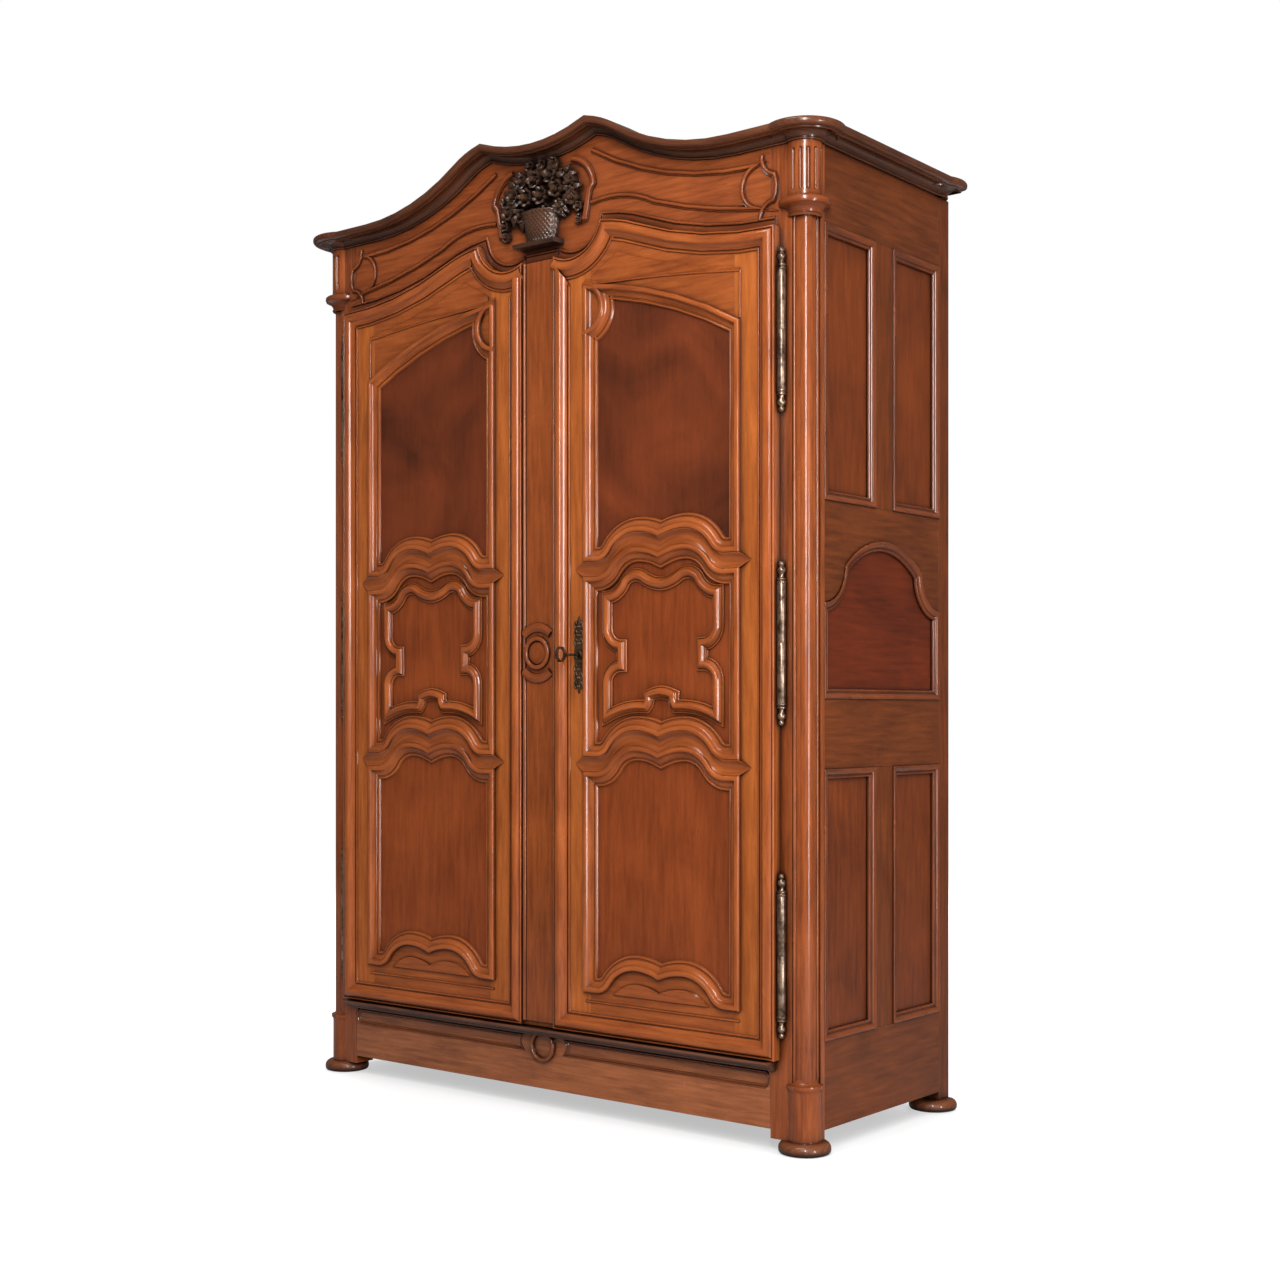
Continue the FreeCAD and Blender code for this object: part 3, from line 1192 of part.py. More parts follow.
def build_front():
    save("frieze_board", [frieze_board().cut(slide_pocket(1))])
    save("base_rail", [base_rail().cut(slide_pocket(-1))])
    bead = profile(ROLL_SHARES, BEAD_WIDTH, BEAD_RISE)
    sunk = set_out(moulding(base_field(), profile(BAND_SHARES, BEAD_WIDTH, BASE_FIELD_SINK), RIGHT_HAND),
                   -BASE_FIELD_SINK)
    save("base_rail_mouldings", both(sunk) + [medal(MEDAL_RADIUS, MEDAL_HOLE, BASE_MEDAL_RISE, BASE_MEDAL_Z)])
    edge = moved(frieze_lower_edge(), 0, DOOR_LAP + EDGE_BAND_GAP)
    band = moulding(edge, profile(BAND_SHARES, EDGE_BAND_WIDTH, EDGE_BAND_RISE), LEFT_HAND)
    span = box(-EDGE_BAND_END_X, EDGE_BAND_END_X, -CASE_DEPTH, CASE_DEPTH, 0, FAR_REACH)
    band = band.common(span)
    save("frieze_edge_band", [band])
    trims = []
    for shares in (FIELD_SHARES, BRACKET_SHARES):
        path = scaled(shares, EDGE_BAND_END_X, FRIEZE_RISE, 0, FRIEZE_ORIGIN_Z)
        run = moulding(path, bead, RIGHT_HAND)
        for neighbour in [band] + trims:
            run = run.cut(neighbour)
        trims += both(run)
    save("frieze_mouldings", trims)
    path = scaled(CARTOUCHE_SHARES, EDGE_BAND_END_X, FRIEZE_RISE, 0, FRIEZE_ORIGIN_Z)
    save("cartouche_moulding", both(moulding(path, profile(ROLL_SHARES, CARTOUCHE_WIDTH, CARTOUCHE_RISE), RIGHT_HAND)))
    save("flower_basket", [basket()])
    corners = [cornice_corner(COLUMN_INSET), cornice_corner(CASE_DEPTH - REAR_EAR_INSET)]
    run = moulding(cornice_line(COLUMN_X), cornice_profile(), LEFT_HAND)
    side = cornice_side()
    for corner in corners:
        run = run.cut(corner).cut(flipped(corner))
        side = side.cut(corner)
    save("cornice_front", [run])
    save("cornice_right", [side])
    save("cornice_left", [flipped(side)])
    save("cornice_corners", corners + [flipped(corner) for corner in corners])


def build_doors():
    panels = door_panels()
    hinge_stile, meeting_stile, rails = door_frame(panels)
    for z in HINGE_HEIGHTS:
        hinge_stile = hinge_stile.cut(door_leaf(z))
    frame = set_out(moulding(door_outline(), profile(LIP_SHARES, LIP_WIDTH, LIP_RISE), RIGHT_HAND), FLAT_OUT)
    pieces = {"door_hinge_stile": [hinge_stile], "door_top_rail": rails[:1], "door_cross_rails": rails[1:3],
              "door_bottom_rail": rails[3:], "door_panels": panels, "door_frame_moulding": [frame],
              "door_panel_mouldings": panel_mouldings(meeting_stile, rails[0]) + [violin()],
              "door_hinge_halves": [door_half(z) for z in HINGE_HEIGHTS]}
    for name, group in pieces.items():
        save("right_" + name, group)
        save("left_" + name, [flipped(piece) for piece in group])
    save("right_door_meeting_stile", [meeting_stile.cut(key_hole())])
    save("left_door_meeting_stile", [fused([flipped(meeting_stile)] + strip_bed())])
    posts = [post_half(z) for z in HINGE_HEIGHTS]
    save("hinge_post_halves", posts + [flipped(piece) for piece in posts])
    ring = set_out(medal(MEDAL_RADIUS, MEDAL_HOLE, MEDAL_RISE, STRIP_MEDAL_Z), FLAT_OUT + STRIP_THICKNESS)
    save("meeting_strip", [strip(), ring])


def build_lock():
    save("escutcheon", [escutcheon()])
    save("lock_case", [lock_case()])
    save("lock_bolt", [lock_bolt()])
    save("key", [key()])
    save("lock_keeper", [keeper()])
    save("left_bolt_plates", [slide_plate(1), slide_plate(-1)])
    save("left_top_bolt", [slide_bolt(1)])
    save("left_bottom_bolt", [slide_bolt(-1)])


os.makedirs("parts", exist_ok=True)
build_case()
build_front()
build_doors()
build_lock()
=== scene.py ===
import math
import random

import bmesh
import bpy
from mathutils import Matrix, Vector


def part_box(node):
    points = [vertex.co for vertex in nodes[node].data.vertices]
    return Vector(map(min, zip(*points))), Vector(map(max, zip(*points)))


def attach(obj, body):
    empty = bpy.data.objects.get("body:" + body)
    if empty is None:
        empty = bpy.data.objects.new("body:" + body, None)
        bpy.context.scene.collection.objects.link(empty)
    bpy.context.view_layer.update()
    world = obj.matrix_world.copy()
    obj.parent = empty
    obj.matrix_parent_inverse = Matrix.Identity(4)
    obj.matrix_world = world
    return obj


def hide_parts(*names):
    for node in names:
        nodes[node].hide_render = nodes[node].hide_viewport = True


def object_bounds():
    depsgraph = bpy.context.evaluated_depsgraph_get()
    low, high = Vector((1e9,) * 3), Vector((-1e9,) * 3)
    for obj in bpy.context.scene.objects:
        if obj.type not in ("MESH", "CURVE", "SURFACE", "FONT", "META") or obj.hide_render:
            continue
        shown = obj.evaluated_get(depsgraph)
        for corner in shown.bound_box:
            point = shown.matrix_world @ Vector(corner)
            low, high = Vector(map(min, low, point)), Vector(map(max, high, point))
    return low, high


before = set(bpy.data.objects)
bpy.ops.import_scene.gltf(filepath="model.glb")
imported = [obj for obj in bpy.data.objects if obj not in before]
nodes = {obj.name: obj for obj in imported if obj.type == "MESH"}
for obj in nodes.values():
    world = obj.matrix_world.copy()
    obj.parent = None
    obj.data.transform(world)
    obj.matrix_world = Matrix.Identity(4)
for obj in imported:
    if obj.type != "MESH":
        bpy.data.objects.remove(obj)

cad_box = [list(corner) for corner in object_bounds()]

# Front corner posts
# Each post is one walnut balk with a column worked on its outer edge: a drum with a bold round between thin
# beads, a plain base with a ring, and a fluted head. Sizes are millimetres, depths from the post's front face.
FACE = 1000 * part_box("frieze_board")[0].y
COLUMN_PROUD = 10
HALF_WIDTH = 1000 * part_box("front_post_right")[1].x - COLUMN_PROUD
POST_TOP = 1000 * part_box("front_post_right")[1].z
POST_INNER = 735
POST_BOTTOM = 30
POST_DEPTH = 65
BALK_CORNER = [(798, 0), (798, 20), (824, 47)]
AXIS = (812, 33)
DRUM = 30
ROUND = 19
ROUND_REACH = 15
BEAD = 4.5
BEAD_TURN = math.radians(66)
BASE_TOP = 165
BASE = [(41, POST_BOTTOM), (41, 148), (42, 152), (45, 156), (46, 160), (45, BASE_TOP), (38, 167), (34, 172),
        (30, 180)]
HEAD_BOTTOM = 2296
HEAD = 43
HEAD_STEPS = 240
FLUTE_TURNS = [math.radians(turn) for turn in (-52, -26, 0, 26, 52)]
FLUTE_WIDTH = 11
FLUTE_DEPTH = 5
FLUTE_LOW = 2306
FLUTE_HIGH = 2409


def tone(red, green, blue):
    """Linear colour from a colour as it looks on screen."""
    shares = [value / 255 for value in (red, green, blue)]
    return [share / 12.92 if share < 0.04 else ((share + 0.055) / 1.055) ** 2.4 for share in shares] + [1]


def shader(name):
    """New material with its own ways to add nodes and to link them."""
    material = bpy.data.materials.new(name)
    material.use_nodes = True
    tree = material.node_tree

    def add(kind, **settings):
        node = tree.nodes.new("ShaderNode" + kind)
        for key, value in settings.items():
            if key[0].islower():
                setattr(node, key, value)
            else:
                node.inputs[key.replace("_", " ")].default_value = value
        return node

    def link(start, output, end, into):
        tree.links.new(start.outputs[output], end.inputs[into])

    return material, tree.nodes["Principled BSDF"], add, link


GRAIN = {"x": (1, 12, 12), "y": (12, 1, 12), "z": (12, 12, 1), "uv": (1, 12, 12)}


def walnut(name, dark, light, along, figure=0.35, gloss=0.24, wax=0.35):
    """Waxed wood: long grain, open pores, slow changes of tone, and painted shade that darkens the corners."""
    material, surface, add, link = shader(name)
    place = add("TexCoord")
    coordinates = "UV" if along == "uv" else "Object"
    stretch = add("Mapping")
    stretch.inputs["Scale"].default_value = GRAIN[along]
    link(place, coordinates, stretch, "Vector")
    grain = add("TexNoise", Scale=7, Detail=6, Roughness=0.6, Distortion=0.35)
    link(stretch, "Vector", grain, "Vector")
    pores = add("TexNoise", Scale=42, Detail=3, Roughness=0.7)
    link(stretch, "Vector", pores, "Vector")
    cloud = add("TexNoise", Scale=3.4, Detail=4, Roughness=0.5, Distortion=0.9)
    link(place, coordinates, cloud, "Vector")
    both = add("Mix", Factor=figure)
    link(grain, "Fac", both, "A")
    link(cloud, "Fac", both, "B")
    ramp = add("ValToRGB")
    ramp.color_ramp.elements[0].position = 0.28
    ramp.color_ramp.elements[0].color = dark
    ramp.color_ramp.elements[1].position = 0.7
    ramp.color_ramp.elements[1].color = light
    link(both, "Result", ramp, "Fac")
    spots = add("MapRange", From_Min=0.36, From_Max=0.46, To_Min=0.6, To_Max=1)
    link(pores, "Fac", spots, "Value")
    pored = add("Mix", data_type="RGBA", blend_type="MULTIPLY")
    pored.inputs[0].default_value = 0.4
    link(ramp, "Color", pored, 6)
    link(spots, "Result", pored, 7)
    # Painted shade: ambient occlusion darkens the colour in corners and hollows.
    corners = add("AmbientOcclusion", samples=8, Distance=0.04)
    shade = add("MapRange", From_Min=0.42, From_Max=0.98, To_Min=0.08, To_Max=1.03)
    link(corners, "AO", shade, "Value")
    corner_shaded = add("Mix", data_type="RGBA", blend_type="MULTIPLY")
    corner_shaded.inputs[0].default_value = 1
    link(pored, 2, corner_shaded, 6)
    link(shade, "Result", corner_shaded, 7)
    link(corner_shaded, 2, surface, "Base Color")
    polish = add("MapRange", To_Min=gloss - 0.05, To_Max=gloss + 0.07)
    link(cloud, "Fac", polish, "Value")
    link(polish, "Result", surface, "Roughness")
    relief = add("Bump", Strength=0.12, Distance=0.0006)
    link(pores, "Fac", relief, "Height")
    link(relief, "Normal", surface, "Normal")
    surface.inputs["Specular IOR Level"].default_value = 0.3
    surface.inputs["Coat Weight"].default_value = wax
    surface.inputs["Coat Roughness"].default_value = 0.13
    return material


def curve(path, turn=0.1):
    """Places along (x, z, bow) stretches: a bow bulges left of its way, None carries on smoothly."""
    here = path[0][:2]
    places = [here]
    heading = 0
    for x, z, bow in path[1:]:
        length = math.dist(here, (x, z))
        way = math.atan2(z - here[1], x - here[0])
        lead = math.remainder(heading - way, math.tau) if bow is None else 2 * math.atan(2 * bow / length)
        count = max(1, math.ceil(abs(2 * lead) / turn))
        for share in [(index + 1) / count for index in range(count)]:
            reach = length * (math.sin(lead * share) / math.sin(lead) if abs(lead) > 1e-6 else share)
            aim = way + lead * (1 - share)
            places.append((here[0] + reach * math.cos(aim), here[1] + reach * math.sin(aim)))
        here = (x, z)
        heading = way - lead
    return places


def skin(rings, uvs, capped=True):
    """Points, faces and texture places of a surface between rings of equal length."""
    size = len(rings[0])
    points = [point for ring in rings for point in ring]
    faces = []
    for low in range(0, len(points) - size, size):
        high = low + size
        for index in range(size):
            after = (index + 1) % size
            faces.append([low + index, low + after, high + after, high + index])
    if capped:
        faces.append(list(range(size)))
        faces.append([len(points) - size + index for index in range(size)])
    return points, faces, [place for ring in uvs for place in ring]


def turned(outline, at, count=48, facing=False, capped=True):
    """Turned work from (radius, height) places, upright at a place or facing the front."""
    rings, uvs = [], []
    for radius, height in outline:
        angles = [math.pi / 2 + math.tau * index / count for index in range(count)]
        round_of = [(radius * math.cos(angle), radius * math.sin(angle)) for angle in angles]
        if facing:
            rings.append([(at[0] + a, at[1] - height, at[2] + b) for a, b in round_of])
        else:
            rings.append([(at[0] + a, at[1] + b, height) for a, b in round_of])
        uvs.append([(height / 1000, radius * math.tau * index / count / 1000) for index in range(count)])
    return skin(rings, uvs, capped=capped)


def prism(outline, z0, z1):
    """Upright bar with a plan outline of (x, y) places."""
    rings = [[(x, y, z) for x, y in outline] for z in (z0, z1)]
    return skin(rings, [[(z / 1000, (x + y) / 1000) for x, y in outline] for z in (z0, z1)])


def piece(name, body, material, parts, replaces=(), mirror=False, sharp=36):
    """One visible piece from parts in millimetres, carried by a CAD body."""
    points, faces, uvs = [], [], []
    for part_points, part_faces, part_uvs in parts:
        faces += [[index + len(points) for index in face] for face in part_faces]
        points += part_points
        uvs += part_uvs
    side = -1 if mirror else 1
    mesh = bpy.data.meshes.new(name)
    mesh.from_pydata([(side * x / 1000, (y + FACE) / 1000, z / 1000) for x, y, z in points], [], faces)
    layer = mesh.uv_layers.new(name="grain")
    layer.data.foreach_set("uv", [value for loop in mesh.loops for value in uvs[loop.vertex_index]])
    work = bmesh.new()
    work.from_mesh(mesh)
    bmesh.ops.recalc_face_normals(work, faces=work.faces)
    work.to_mesh(mesh)
    work.free()
    mesh.polygons.foreach_set("use_smooth", [True] * len(mesh.polygons))
    mesh.set_sharp_from_angle(angle=math.radians(sharp))
    mesh.materials.append(material)
    made = bpy.data.objects.new(name, mesh)
    bpy.context.scene.collection.objects.link(made)
    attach(made, body)
    if replaces:
        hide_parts(*replaces)


def around(turn, reach):
    """Place on the column, turned from the diagonal that faces the corner."""
    angle = turn - math.pi / 4
    return AXIS[0] + reach * math.cos(angle), AXIS[1] + reach * math.sin(angle)


def fluted_head():
    """Head of the column with round-ended hollow flutes."""
    half = FLUTE_WIDTH / 2
    ends = [half * (1 - math.cos(math.radians(step * 15))) for step in range(7)]
    levels = [FLUTE_LOW + end for end in ends] + [FLUTE_HIGH - end for end in reversed(ends)]
    rings, uvs = [], []
    for z in [HEAD_BOTTOM] + levels + [POST_TOP]:
        inner = min(z - FLUTE_LOW, FLUTE_HIGH - z)
        wide = half if inner >= half else math.sqrt(max(0, half ** 2 - (half - inner) ** 2))
        ring = []
        for step in range(HEAD_STEPS):
            turn = math.tau * step / HEAD_STEPS - math.pi
            off = min(abs(turn - flute) for flute in FLUTE_TURNS) * HEAD
            dip = FLUTE_DEPTH * math.sqrt(max(0, wide ** 2 - off ** 2)) / half if off < wide else 0
            ring.append(around(turn, HEAD - dip) + (z,))
        rings.append(ring)
        uvs.append([(z / 1000, HEAD * step / HEAD_STEPS * math.tau / 1000) for step in range(HEAD_STEPS)])
    return skin(rings, uvs)


post_wood = walnut("post_walnut", tone(96, 42, 18), tone(170, 88, 42), "uv")
balk = [(POST_INNER, 0)] + BALK_CORNER + [(HALF_WIDTH, BALK_CORNER[-1][1]), (HALF_WIDTH, POST_DEPTH),
                                          (POST_INNER, POST_DEPTH)]
column = [prism(balk, POST_BOTTOM, POST_TOP), turned(BASE, AXIS), fluted_head(),
          turned([(DRUM, BASE_TOP), (DRUM, HEAD_BOTTOM)], AXIS),
          turned([(ROUND, BASE_TOP), (ROUND, HEAD_BOTTOM)], around(0, ROUND_REACH))]
for turn in (-BEAD_TURN, BEAD_TURN):
    column.append(turned([(BEAD, BASE_TOP), (BEAD, HEAD_BOTTOM)], around(turn, DRUM), 16))
piece("right_front_post", "carcass", post_wood, column, ["front_post_right"])
piece("left_front_post", "carcass", post_wood, column, ["front_post_left"], mirror=True)

# Capitals and feet
# A turned ring is planted round each column under its head, and the case stands on flat turned bun feet that
# are dowelled into the posts. The feet are scuffed and a little greyer than the rest.
CAPITAL = [(30, 2246), (41, 2246), (43.5, 2250), (41, 2254.5), (42.5, 2260), (47, 2267), (54, 2271), (61, 2274),
           (63.5, 2280), (62.5, 2287), (58, 2290.5), (52, 2293), (45, 2296), (30, 2296)]
FOOT = [(55, 0), (60, 1.5), (63.2, 6), (64, 12), (63, 19), (59, 25), (53, 29), (50, 30)]
RING_FROM, RING_TO = math.radians(-160), math.radians(70)
REAR_FOOT_Y = 652
CASE_BACK = 1000 * cad_box[1][1] - FACE


def sector(outline, at, start, end, count=40):
    """Part of a turned ring, between two angles."""
    rings, uvs = [], []
    for index in range(count + 1):
        angle = start + (end - start) * index / count
        rings.append([(at[0] + r * math.cos(angle), at[1] + r * math.sin(angle), z) for r, z in outline])
        uvs.append([(angle * at[1] / 1000, (r + z) / 1000) for r, z in outline])
    return skin(rings, uvs)


def sawn(outline, at, count=48):
    """Turned work sawn flush with the back of the case, so that it stands against a wall."""
    rings, uvs = [], []
    for radius, height in outline:
        start = math.asin(min(0.999, (CASE_BACK - at[1]) / radius))
        turns = [math.pi - start + (math.pi + 2 * start) * index / (count - 1) for index in range(count)]
        rings.append([(at[0] + radius * math.cos(turn), at[1] + radius * math.sin(turn), height) for turn in turns])
        uvs.append([(height / 1000, radius * turn / 1000) for turn in turns])
    return skin(rings, uvs)


def on_left(part):
    """The same part on the left of the case."""
    return [(-x, y, z) for x, y, z in part[0]], part[1], part[2]


ring_wood = walnut("ring_walnut", tone(84, 36, 16), tone(152, 78, 38), "uv")
foot_wood = walnut("foot_walnut", tone(78, 40, 22), tone(146, 84, 50), "uv", gloss=0.45)
ring = sector(CAPITAL, AXIS, RING_FROM, RING_TO)
piece("capital_rings", "carcass", ring_wood, [ring, on_left(ring)], ["column_capitals"])
feet = []
for x in (-AXIS[0], AXIS[0]):
    feet += [turned(FOOT, (x, AXIS[1])), sawn(FOOT, (x, REAR_FOOT_Y))]
piece("bun_feet", "carcass", foot_wood, feet, ["foot_pads"])

# Sides of the case
# Rails and muntins are tenoned into the posts and hold five panels a side, each edged with a planted moulding.
# The wood is darker than the front; the arched middle panel lies with its grain across.
SIDE_SINK = 11
SIDE_SECTION = [(0, 0, 0), (0, 10.5, 0), (3, 13, 1), (7, 12.6, 0.6), (15, 7.2, 1.2), (16, 5.2, 0), (18, 5, 0),
                (19, 5.8, 0.3), (23, 5.2, 1), (25, 0, 0.4)]
SIDE_BAYS = ((65, 303.5), (387.5, 626))
SIDE_TIERS = ((1572, 2240), (266, 922))
ARCH_FRONT, ARCH_REAR, ARCH_FOOT, ARCH_EAR, ARCH_SPRING, ARCH_RISE = 65, 626, 1092, 95, 1420, 70
ARCH_MARGIN = 20


def waxed_board(name, dark, light, along, figure=0.35):
    """Walnut of the flat boards, duller than the mouldings that dusters keep bright."""
    return walnut(name, dark, light, along, figure, gloss=0.42, wax=0.1)


def carry(material, ease, *names):
    """Dress CAD pieces: join split corners, ease the edges, and shade them smoothly."""
    for name in names:
        node = nodes[name]
        mesh = node.data
        for layer in ("custom_normal", "sharp_edge", "sharp_face"):
            if layer in mesh.attributes:
                mesh.attributes.remove(mesh.attributes[layer])
        mesh.polygons.foreach_set("use_smooth", [True] * len(mesh.polygons))
        mesh.materials.clear()
        mesh.materials.append(material)
        weld = node.modifiers.new("weld", "WELD")
        weld.merge_threshold = 0.00001
        bevel = node.modifiers.new("eased_edges", "BEVEL")
        bevel.width = ease / 1000
        bevel.segments = 2
        bevel.limit_method = "ANGLE"
        bevel.angle_limit = math.radians(32)
        node.modifiers.new("even_shading", "WEIGHTED_NORMAL")


def sweep(path, section, hand, front, swell=None):
    """Moulding: a section of (across, out) stretches carried along an outline, mitred at its corners."""
    places = curve(path)
    profile = curve(section, 0.35)
    closed = math.dist(places[0], places[-1]) < 0.01
    last = len(places) - 1
    rings, uvs = [], []
    gone = 0
    reach = [0]
    for a, b in zip(profile, profile[1:]):
        reach.append(reach[-1] + math.dist(a, b))

    def left(a, b):
        length = math.dist(a, b)
        return Vector(((a[1] - b[1]) / length, (b[0] - a[0]) / length))

    for index, (x, z) in enumerate(places):
        before = places[index - 1] if index else places[-2] if closed else None
        after = places[index + 1] if index < last else places[1] if closed else None
        into = left(before, (x, z)) if before else left((x, z), after)
        away = left((x, z), after) if after else into
        mitre = (into + away) * (hand / (1 + into.dot(away)))
        gone += math.dist(places[index - 1], (x, z)) if index else 0
        full = swell(x) if swell else 1
        rings.append([(x + mitre.x * across * full, front - out * full, z + mitre.y * across * full)
                      for across, out in profile])
        uvs.append([(gone / 1000, far / 1000) for far in reach])
    return skin(rings, uvs, capped=not closed)


def to_side(part):
    """Carry a part laid out along the front to the right-hand side of the case."""
    return [(HALF_WIDTH - y, x, z) for x, y, z in part[0]], part[1], part[2]


def rectangle(x0, x1, z0, z1):
    """Closed outline of a plain field."""
    return [(x0, z0, 0), (x0, z1, 0), (x1, z1, 0), (x1, z0, 0), (x0, z0, 0)]


LEFT, RIGHT = 1, -1
ear_bow = ARCH_EAR * (1 - math.cos(math.pi / 4))
side_arch = [(ARCH_FRONT, ARCH_FOOT, 0), (ARCH_FRONT, ARCH_SPRING - ARCH_EAR, 0),
             (ARCH_FRONT + ARCH_EAR, ARCH_SPRING, -ear_bow), (ARCH_REAR - ARCH_EAR, ARCH_SPRING, ARCH_RISE),
             (ARCH_REAR, ARCH_SPRING - ARCH_EAR, -ear_bow), (ARCH_REAR, ARCH_FOOT, 0), (ARCH_FRONT, ARCH_FOOT, 0)]
side_upright = waxed_board("side_upright_walnut", tone(72, 32, 12), tone(130, 64, 26), "z")
side_level = waxed_board("side_level_walnut", tone(70, 32, 13), tone(128, 64, 27), "y")
side_panel = waxed_board("side_panel_walnut", tone(74, 31, 11), tone(136, 64, 25), "z", figure=0.5)
arch_panel = waxed_board("arch_panel_walnut", tone(64, 22, 8), tone(122, 48, 17), "y", figure=0.5)
side_edge = walnut("side_edge_walnut", tone(76, 34, 16), tone(138, 70, 36), "uv")
carry(side_upright, 0.8, "rear_posts", "side_muntins")
carry(side_level, 0.8, "left_side_rails", "right_side_rails")
carry(side_panel, 0.5, "left_side_panels", "right_side_panels")
for name in ("left_side_panels", "right_side_panels"):
    nodes[name].data.materials.append(arch_panel)
    for polygon in nodes[name].data.polygons:
        level = 1000 * polygon.center.z
        polygon.material_index = int(ARCH_FOOT - ARCH_MARGIN < level < ARCH_SPRING + ARCH_RISE + ARCH_MARGIN)
side_fields = [rectangle(*bay, *tier) for bay in SIDE_BAYS for tier in SIDE_TIERS] + [side_arch]
trims = [to_side(sweep(field, SIDE_SECTION, RIGHT, SIDE_SINK)) for field in side_fields]
piece("right_side_edging", "carcass", side_edge, trims, ["side_panel_mouldings"])
piece("left_side_edging", "carcass", side_edge, trims, mirror=True)

# Back and inside
# The back is a plain oak frame with thin panels; floor, ceiling and shelves are oak boards laid side by side
# on battens. None of it is polished, only brushed clean and darkened by age.
OAK_GLOSS = 0.62
oak_level = walnut("oak_level", tone(120, 84, 52), tone(176, 136, 94), "x", gloss=OAK_GLOSS, wax=0)
oak_upright = walnut("oak_upright", tone(112, 78, 48), tone(168, 128, 88), "z", gloss=OAK_GLOSS, wax=0)
oak_deep = walnut("oak_battens", tone(112, 78, 48), tone(168, 128, 88), "y", gloss=OAK_GLOSS, wax=0)
carry(oak_upright, 0.6, "back_frame", "back_panels")
carry(oak_level, 0.8, "floor_boards", "ceiling_boards", "shelves")
carry(oak_deep, 0.8, "shelf_battens")

# Base rail
# A broad rail tenoned between the front posts. Two long fields are sunk in it with moulded edges, and a turned
# ring is planted between them below the meeting of the doors.
RAIL_FIELD = (66, 720, 147, 189)
RAIL_END_BOW = 14
RAIL_SINK = 5
RAIL_SECTION = [(0, 0, 0), (0, 5, 0), (3, 4.4, 0.8), (5, 2.2, 0), (7, 2.4, 0.5), (10, 0, 0.5)]
RAIL_RING_Z = 167
RING = 43
RING_HOLE = 32
RING_RISE = 12


def planted_ring(at, hole, radius, rise):
    """Ring with a rounded face towards the front."""
    middle = (hole + radius) / 2
    half = (radius - hole) / 2
    outline = [(hole, 0)]
    for step in range(13):
        angle = math.pi * step / 12
        outline.append((middle - half * math.cos(angle), rise * (0.45 + 0.55 * math.sin(angle))))
    return turned(outline + [(radius, 0), (hole, 0)], at, facing=True, capped=False)


x0, x1, z0, z1 = RAIL_FIELD
rail_field = [(x0, z0, 0), (x0, z1, -RAIL_END_BOW), (x1, z1, 0), (x1, z0, RAIL_END_BOW), (x0, z0, 0)]
rail_wood = walnut("base_rail_walnut", tone(108, 56, 31), tone(180, 106, 63), "x")
rail_edge = walnut("base_edge_walnut", tone(84, 42, 23), tone(146, 80, 46), "uv")
carry(rail_wood, 1.2, "base_rail")
sunk = sweep(rail_field, RAIL_SECTION, RIGHT, RAIL_SINK)
rail_ring = planted_ring((0, 0, RAIL_RING_Z), RING_HOLE, RING, RING_RISE)
piece("base_rail_edging", "carcass", rail_edge, [sunk, on_left(sunk), rail_ring],
      ["base_rail_mouldings"])

# Base ledge
# A moulded nosing is nailed along the top of the base rail, just under the doors: a round edge over a hollow
# and a small bead. Its walnut is given a darker tone than the rail's.
LEDGE_END = 750
LEDGE_TOP = 219
NOSING = [(0, 0, 0), (0, 37, 0), (3, 42, 1.2), (7.5, 40, 1), (8.5, 36, 0), (17, 16, -4), (18, 13, 0), (20, 13, 0),
          (24, 9, 1.2), (26, 0, 0)]
ledge_wood = walnut("base_ledge_walnut", tone(70, 40, 29), tone(128, 80, 58), "uv")
nosing = sweep([(-LEDGE_END, LEDGE_TOP, 0), (LEDGE_END, LEDGE_TOP, 0)], NOSING, RIGHT, 0)
piece("base_ledge", "carcass", ledge_wood, [nosing])

# Frieze
# One shaped walnut board closes the case above the doors. A moulded band follows the doors' heads, thin beads
# draw two long fields and their brackets, and a bold roll on each side frames the carved basket.
SPAN = 750
FRIEZE_Z = 2250
FRIEZE_RISE = 315
BAND_GAP = 3
BAND_END_LIFT = 1.2
FIELD = [(0.228, 0.888, 0), (0.92, 0.438, -0.048), (0.92, 0.112, -0.05), (0.507, 0.343, 0.011),
         (0.226, 0.452, -0.024)]
BRACKET = [(0.949, 0.502, 0), (0.997, 0.343, -0.016), (0.993, 0.143, 0.01), (0.941, 0.007, -0.016)]
CARTOUCHE = [(0.157, 0.324, 0), (0.2, 0.336, 0), (0.217, 0.564, 0), (0.235, 0.61, 0), (0.14, 0.848, -0.024)]
DOOR_INNER, DOOR_OUTER, DOOR_FOOT = 56.5, 763, 222
DOOR_HEAD = [(DOOR_INNER, 2265, 0), (218, 2335, -44.5), (345, 2304, 4.5), (DOOR_OUTER, 2228, None)]
BAND_SECTION = [(0, 0, 0), (0, 5, 0), (12, 5.4, 0.5), (13, 2.2, 0), (15, 2.2, 0), (23, 3, 3.4), (25, 0, 0)]
BEAD_SECTION = [(-7, 0, 0), (-7, 3, 0), (-4.4, 2.2, 0), (4.4, 2.2, 5), (7, 3, 0), (7, 0, 0)]
ROLL_SECTION = [(-10, 0, 0), (-10, 4, 0), (-7.5, 4.4, 0), (7.5, 4.4, 7.6), (10, 4, 0), (10, 0, 0)]


def framed(shares):
    """Outline on the frieze from shares of its span and rise."""
    return [(x * SPAN, FRIEZE_Z + z * FRIEZE_RISE, bow * SPAN) for x, z, bow in shares]


